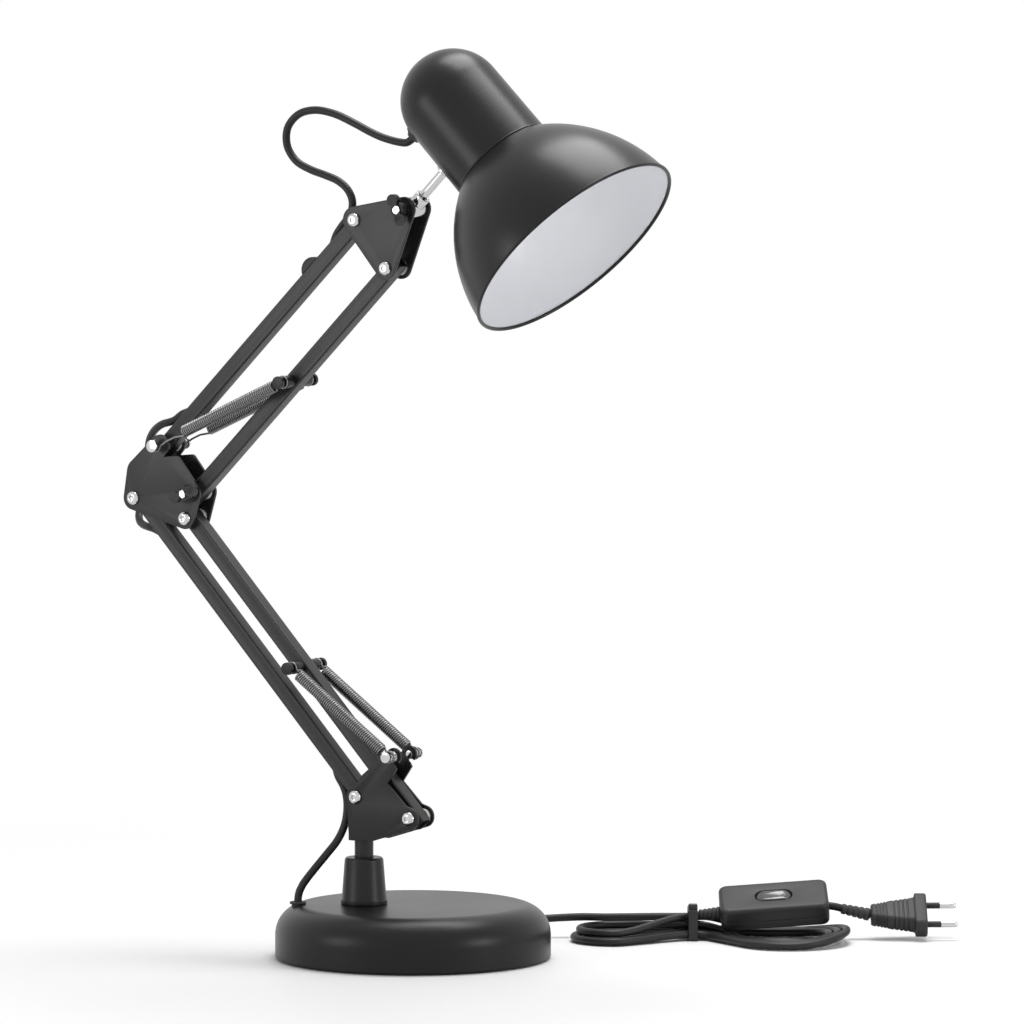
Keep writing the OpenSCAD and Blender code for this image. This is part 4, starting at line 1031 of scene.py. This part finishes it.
# %% [markdown]
# ## Rubber and moulded parts
# Strain reliefs are ribbed tapers, so that they bend a little at each groove. A profile gives
# the flange and the ribs, and the same turning helper makes them hollow for the lead. The
# grommet keeps the lead off the edge of the hole in the shade.

# %% Reliefs
def ribbed(first, last, start, end, rings, groove=0.55):
    """Steps of a taper between two radii, cut by grooves into a number of rings."""
    steps, pitch = [], (end - start) / rings
    ring = ((0.04, groove), (0.16, 0.1), (0.24, 0), (0.66, 0), (0.74, 0.1), (0.86, groove))
    for i in range(rings):
        for share, cut in ring:
            place = start + pitch * (i + share)
            steps.append((first + (last - first) * (i + share) / rings - cut, place))
    return steps


def relief(name, node, profile, origin, axis):
    """A turned rubber part with a hole for the lead all the way through it."""
    bore = LEAD / 2 + 0.1
    whole = [(bore, profile[0][1])] + profile + [(bore, profile[-1][1]), (bore, profile[0][1])]
    return turned(name, node, whole, origin, axis, SOFT_RUBBER, sides=48)


OUTLET_ANGLE, OUTLET_Z, OUTLET_RINGS = math.radians(50), 0.012, 7
outlet_way = base(math.cos(OUTLET_ANGLE), math.sin(OUTLET_ANGLE), 0)
outlet = [(4, -3), (4, 0), (5.3, 0), (5.5, 0.3), (5.5, 1.4), (5.2, 1.8), (4.5, 1.9),
          *ribbed(4.5, 3.4, 3, 24, OUTLET_RINGS)]
relief("outlet_relief", "lead_outlet", outlet, outlet_way * BASE_R + Vector((0, 0, OUTLET_Z)),
       outlet_way)
grommet = [(r, NECK_R + out) for r, out in (
    (5.2, -5.5), (5.2, -3.6), (3.75, -3.4), (3.75, 0), (7.1, 0.2), (7.25, 0.6), (7, 1.5), (6.2, 2),
    (4.9, 3.3), (4.5, 4.4))]
relief("shade_grommet_turned", "shade_grommet", grommet, in_shade(INLET, 0), -ROD_WAY)
print("rings on the outlet's relief:", OUTLET_RINGS)

# %% [markdown]
# ## The switch, the plug and the tie
# These moulded parts are stacks of rounded rectangles. Each level gives a length, a width and a
# corner radius, so one helper makes the switch's two shells, its rocker and the plug's body.
# The switch leans on the hank, so its parts are drawn upright and then turned.

# %% Stacks of outlines
def outline(length, width, corner, count=8):
    """Points of a rounded rectangle about the origin."""
    points = []
    for x, y, start in ((1, 1, 0), (-1, 1, 90), (-1, -1, 180), (1, -1, 270)):
        for i in range(count + 1):
            a = math.radians(start + 90 * i / count)
            points.append((x * (length / 2 - corner) + corner * math.cos(a),
                           y * (width / 2 - corner) + corner * math.sin(a)))
    return points


def stack(levels, place):
    """A closed form from (outline, height) levels; place puts (x, y, height) in the lamp's frame."""
    vertices = [place(x, y, height) for points, height in levels for x, y in points]
    return vertices, skin(len(levels), len(levels[0][0]))


def leaning(origin, angle, pitch=0):
    """A place function for parts that lean by an angle about the lead's line, far end up by pitch."""
    lean = Matrix.Rotation(math.radians(angle), 3, "X")
    turn = Matrix.Rotation(math.radians(-pitch), 3, "Y")
    return lambda x, y, z: base(*(Vector(origin) + turn @ lean @ Vector((x, y, z))))


def back_along(angle):
    """The way back along the lead, for a line that rises by an angle in radians."""
    return base(-math.cos(angle), 0, -math.sin(angle))


# %% Switch case
SWITCH_L, SWITCH_W, SWITCH_H, SPLIT = 70, 31, 16, 7
ROCKER_L, ROCKER_W, ROCKER_RISE = 23, 10.5, 2.0
SWITCH_CORNER, SWITCH_LEAN, SWITCH_PITCH = (199, 73, 5.35), 28, 4
from_corner = leaning(SWITCH_CORNER, SWITCH_LEAN, SWITCH_PITCH)


def in_switch(x, y, z):
    """A place measured from the middle of the switch's underside."""
    return from_corner(x + SWITCH_L / 2, y + SWITCH_W / 2, z)


def pill(length, width):
    """An outline whose ends are round."""
    return outline(length, width, width / 2 - 0.1)


def case(inset):
    """The case's outline, moved in by inset."""
    return outline(SWITCH_L - 2 * inset, SWITCH_W - 2 * inset, 5 - inset * 0.6)


lower_shell = [(case(2.4), 0), (case(1.4), 0.15), (case(0.6), 0.7), (case(0.15), 1.6), (case(0), 2.6),
               (case(0), SPLIT - 0.5), (case(0.15), SPLIT - 0.3), (case(0.5), SPLIT - 0.25),
               (case(1.8), SPLIT - 0.25)]
fitted("switch_lower_shell", "switch_base", stack(lower_shell, in_switch), BLACK_MOULDING)
window = [pill(ROCKER_L + grow, ROCKER_W + grow) for grow in (2.4, 1.4, 0.8, 0.8)]
upper_shell = [(case(1.8), SPLIT - 0.05), (case(0.5), SPLIT - 0.05), (case(0.15), SPLIT),
               (case(0), SPLIT + 0.2), (case(0), SWITCH_H - 3), (case(0.15), SWITCH_H - 2),
               (case(0.5), SWITCH_H - 1.1),
               (case(1.1), SWITCH_H - 0.5), (case(1.9), SWITCH_H - 0.12), (case(2.8), SWITCH_H),
               (window[0], SWITCH_H), (window[1], SWITCH_H - 0.15), (window[2], SWITCH_H - 0.8),
               (window[3], SWITCH_H - 5)]
fitted("switch_upper_shell", "switch_cover", stack(upper_shell, in_switch), BLACK_MOULDING)


print("switch, mm:", (SWITCH_L, SWITCH_W, SWITCH_H))

# %% Rocker and relief
def on_rocker(x, y, z):
    """The rocker's top rises from both ends to a soft ridge in the middle."""
    rise = ROCKER_RISE * (1 - (abs(x) / (ROCKER_L / 2)) ** 1.5) if z > 14 else 0
    return in_switch(x, y, z + rise)


rocker = [(pill(ROCKER_L - 2 * inset, ROCKER_W - 2 * inset), z)
          for inset, z in ((0.2, 11), (0.2, 14.4), (0.35, 14.8), (0.8, 15.1), (1.6, 15.2),
                           (2.8, 15.15), (4, 15.1))]
fitted("switch_rocker_cap", "switch_rocker", stack(rocker, on_rocker), ROCKER_GREY, 60)
relief("switch_relief_ribbed", "switch_relief", [(4.5, -0.5), *ribbed(4.5, 3.4, 0, 14, 5)],
       base(*SWITCH_IN), back_along(math.radians(SWITCH_PITCH)))
print("rocker, mm:", (ROCKER_L, ROCKER_W), "rises", ROCKER_RISE)

# %% Plug body
PLUG_LEAN, PIN_ASIDE, GRIP_GROOVES = 33, 9.3, 4
in_plug = leaning(PLUG_BACK, PLUG_LEAN)
# Steps of (distance from the back, width, height)
PLUG = ((0, 14, 8), (0.5, 15.3, 9.3), (1.4, 16, 10), (12, 21.5, 11), (26.6, 27.3, 12), (27.6, 28, 12.2),
        (28.1, 30, 12.5), (28.4, 34.2, 13.1), (28.9, 35.3, 13.4), (29.6, 35.5, 13.5), (34.6, 35.5, 13.5),
        (35.4, 35.1, 13.2), (36, 33.6, 12))


def section(w, h):
    """The plug's outline across the lead: its sides are round."""
    return outline(w, h, h / 2 - 0.5)


body_levels = []
for (x, w, h), (next_x, next_w, next_h) in zip(PLUG, PLUG[1:]):
    body_levels.append((section(w, h), x))
    if next_x - x > 9:                              # the long flanks have grip grooves
        for i in range(1, GRIP_GROOVES + 1):
            share = i / (GRIP_GROOVES + 1)
            mid_w, mid_h = w + (next_w - w) * share, h + (next_h - h) * share
            mid_x = x + (next_x - x) * share
            for side, cut in ((-0.6, 0), (-0.3, 0.5), (0.3, 0.5), (0.6, 0)):
                body_levels.append((section(mid_w - 2 * cut, mid_h - 2 * cut), mid_x + side))
body_levels.append((section(*PLUG[-1][1:]), PLUG[-1][0]))
plug_mesh = stack(body_levels, lambda y, z, x: in_plug(x, y, z))
print("levels in the plug's body:", len(body_levels))

# %% Plug pins and relief
pin_way = base(1, 0, 0)
sleeve = rounded_profile([(0, 35), (2, 35), (2, 45.4), (0, 45.4)], 0.3)
tip = [(0, 45), (2, 45), (2, 54), (1.8, 54.8), (1.3, 55.5), (0.7, 55.7), (0, 55.7)]
sleeves, pins = ([turned_mesh(profile, in_plug(0, y, 0), pin_way, 32) for y in (-PIN_ASIDE, PIN_ASIDE)]
                 for profile in (sleeve, tip))
fitted("plug_moulding", "plug_body", joined(plug_mesh, *sleeves), BLACK_MOULDING)
fitted("plug_pins_turned", "plug_pins", joined(*pins), CHROME)
dip = math.atan2(SWITCH_OUT[2] - PLUG_BACK[2], PLUG_BACK[0] - SWITCH_OUT[0])
relief("plug_relief_ribbed", "plug_relief", [(4.2, 0.9), *ribbed(4.2, 3.3, 1.2, 20, 5)],
       base(*PLUG_BACK), back_along(-dip))
print("plug, mm from back to tips:", tip[-1][1])

# %% Tie
softened("lead_tie", BLACK_MOULDING, 0.4)
knob = stack([(outline(5.4, 7, 1), 19.4), (outline(6, 7.6, 1.2), 19.8),
              (outline(6, 7.6, 1.2), 22.2), (outline(5.2, 6.8, 1), 23)],
             lambda x, y, z: base(TIE_MIDDLE[0] + x, TIE_MIDDLE[1] - 5.5 + y, z))
piece("tie_knob", *knob, BLACK_MOULDING, SLOT_OF["lead_tie"], "base")

# %% [markdown]
# ## The mains lead in one piece
# The whole mains lead is one tube, from the base's relief to the plug.

# %% [markdown]
# ## Light and floor
# The lamp stands on a pale seamless floor in even studio light. The strongest panel hangs above
# it and a little behind, and draws the bright lines along the tops. A small weak one on each
# side puts a soft streak on the round forms. The world is white behind the lamp and in its
# reflections, and a dim grey as a source of light, so the black paint stays dark.
#
# A floor with an edge would show a horizon. Near the lamp it is a real floor that takes the
# shadows, and further off it turns into the white of the backdrop. That change, like the
# world's, is only for the rays that show the scene, so neither adds light to the lamp.

# %% Floor
FLOOR_HALF, FLOOR_Z = 6, -0.0003
FADE_FROM, FADE_TO = 0.25, 0.9              # metres from the middle of the base
WHITE, FLOOR_DARK, FLOOR_PALE, WORLD_FILL = (1,) * 3, (0.88,) * 3, (0.92,) * 3, (0.42,) * 3


def shown_rays(tree):
    """1 for the rays that show the scene, straight or in a mirror or glass, and 0 for the rest."""
    rays = add(tree, "ShaderNodeLightPath").outputs
    seen = maths(tree, "MAXIMUM", rays["Is Camera Ray"], rays["Is Glossy Ray"])
    return maths(tree, "MAXIMUM", seen, rays["Is Transmission Ray"])


floor_material = bpy.data.materials.new("studio_floor")
floor_material.use_nodes = True
floor_tree = floor_material.node_tree
floor_shader = floor_tree.nodes["Principled BSDF"]
floor_shader.inputs["Roughness"].default_value = 0.55
floor_shader.inputs["Specular IOR Level"].default_value = 0.2
clouds = add(floor_tree, "ShaderNodeTexNoise", in_Scale=3.0, in_Detail=2)
floor_tree.links.new(mixed(floor_tree, clouds.outputs["Fac"], FLOOR_DARK, FLOOR_PALE),
                     floor_shader.inputs["Base Color"])
floor_place = add(floor_tree, "ShaderNodeTexCoord")
far_off = add(floor_tree, "ShaderNodeVectorMath", [("Vector", floor_place.outputs["Object"])],
              operation="LENGTH")
fade = ramp(floor_tree, far_off.outputs["Value"], FADE_FROM, FADE_TO,
            interpolation_type="SMOOTHSTEP")
blank = maths(floor_tree, "MULTIPLY", shown_rays(floor_tree), fade)
plain_white = add(floor_tree, "ShaderNodeEmission")
floor_look = add(floor_tree, "ShaderNodeMixShader",
                 [("Fac", blank), (1, floor_shader.outputs["BSDF"]),
                  (2, plain_white.outputs["Emission"])])
floor_tree.links.new(floor_look.outputs[0], floor_tree.nodes["Material Output"].inputs["Surface"])
floor_mesh = bpy.data.meshes.new("floor")
floor_corners = [(FLOOR_HALF * x, FLOOR_HALF * y, FLOOR_Z)
                 for x, y in ((-1, -1), (1, -1), (1, 1), (-1, 1))]
floor_mesh.from_pydata(floor_corners, [], [(0, 1, 2, 3)])
floor_mesh.materials.append(floor_material)
floor = placed("floor", floor_mesh)
print("floor, m across:", 2 * FLOOR_HALF)

# %% Lights
LIT_POINT = Vector((0, 0, 0.25))


def panel(name, turn, height, distance, size, power):
    """A square light on a bearing of so many degrees to the right of the camera."""
    data = bpy.data.lights.new(name, "AREA")
    data.size, data.energy = size, power
    return looking(name, data, VIEW_TURN + math.radians(turn), distance, height, LIT_POINT)


key_light = panel("panel_left", -63, 0.45, 1.5, 0.55, 3.6)
fill_light = panel("panel_right", 60, 0.5, 1.8, 0.5, 6)
top_light = panel("panel_top", 130, 1.75, 0.35, 1.0, 26)
print("lights:", len(bpy.data.lights))

# %% World
world = bpy.data.worlds.new("studio")
bpy.context.scene.world = world
world.use_nodes = True
sky = world.node_tree
sky.links.new(mixed(sky, shown_rays(sky), WORLD_FILL, WHITE), sky.nodes["Background"].inputs["Color"])
bpy.context.scene.view_settings.view_transform = "Standard"
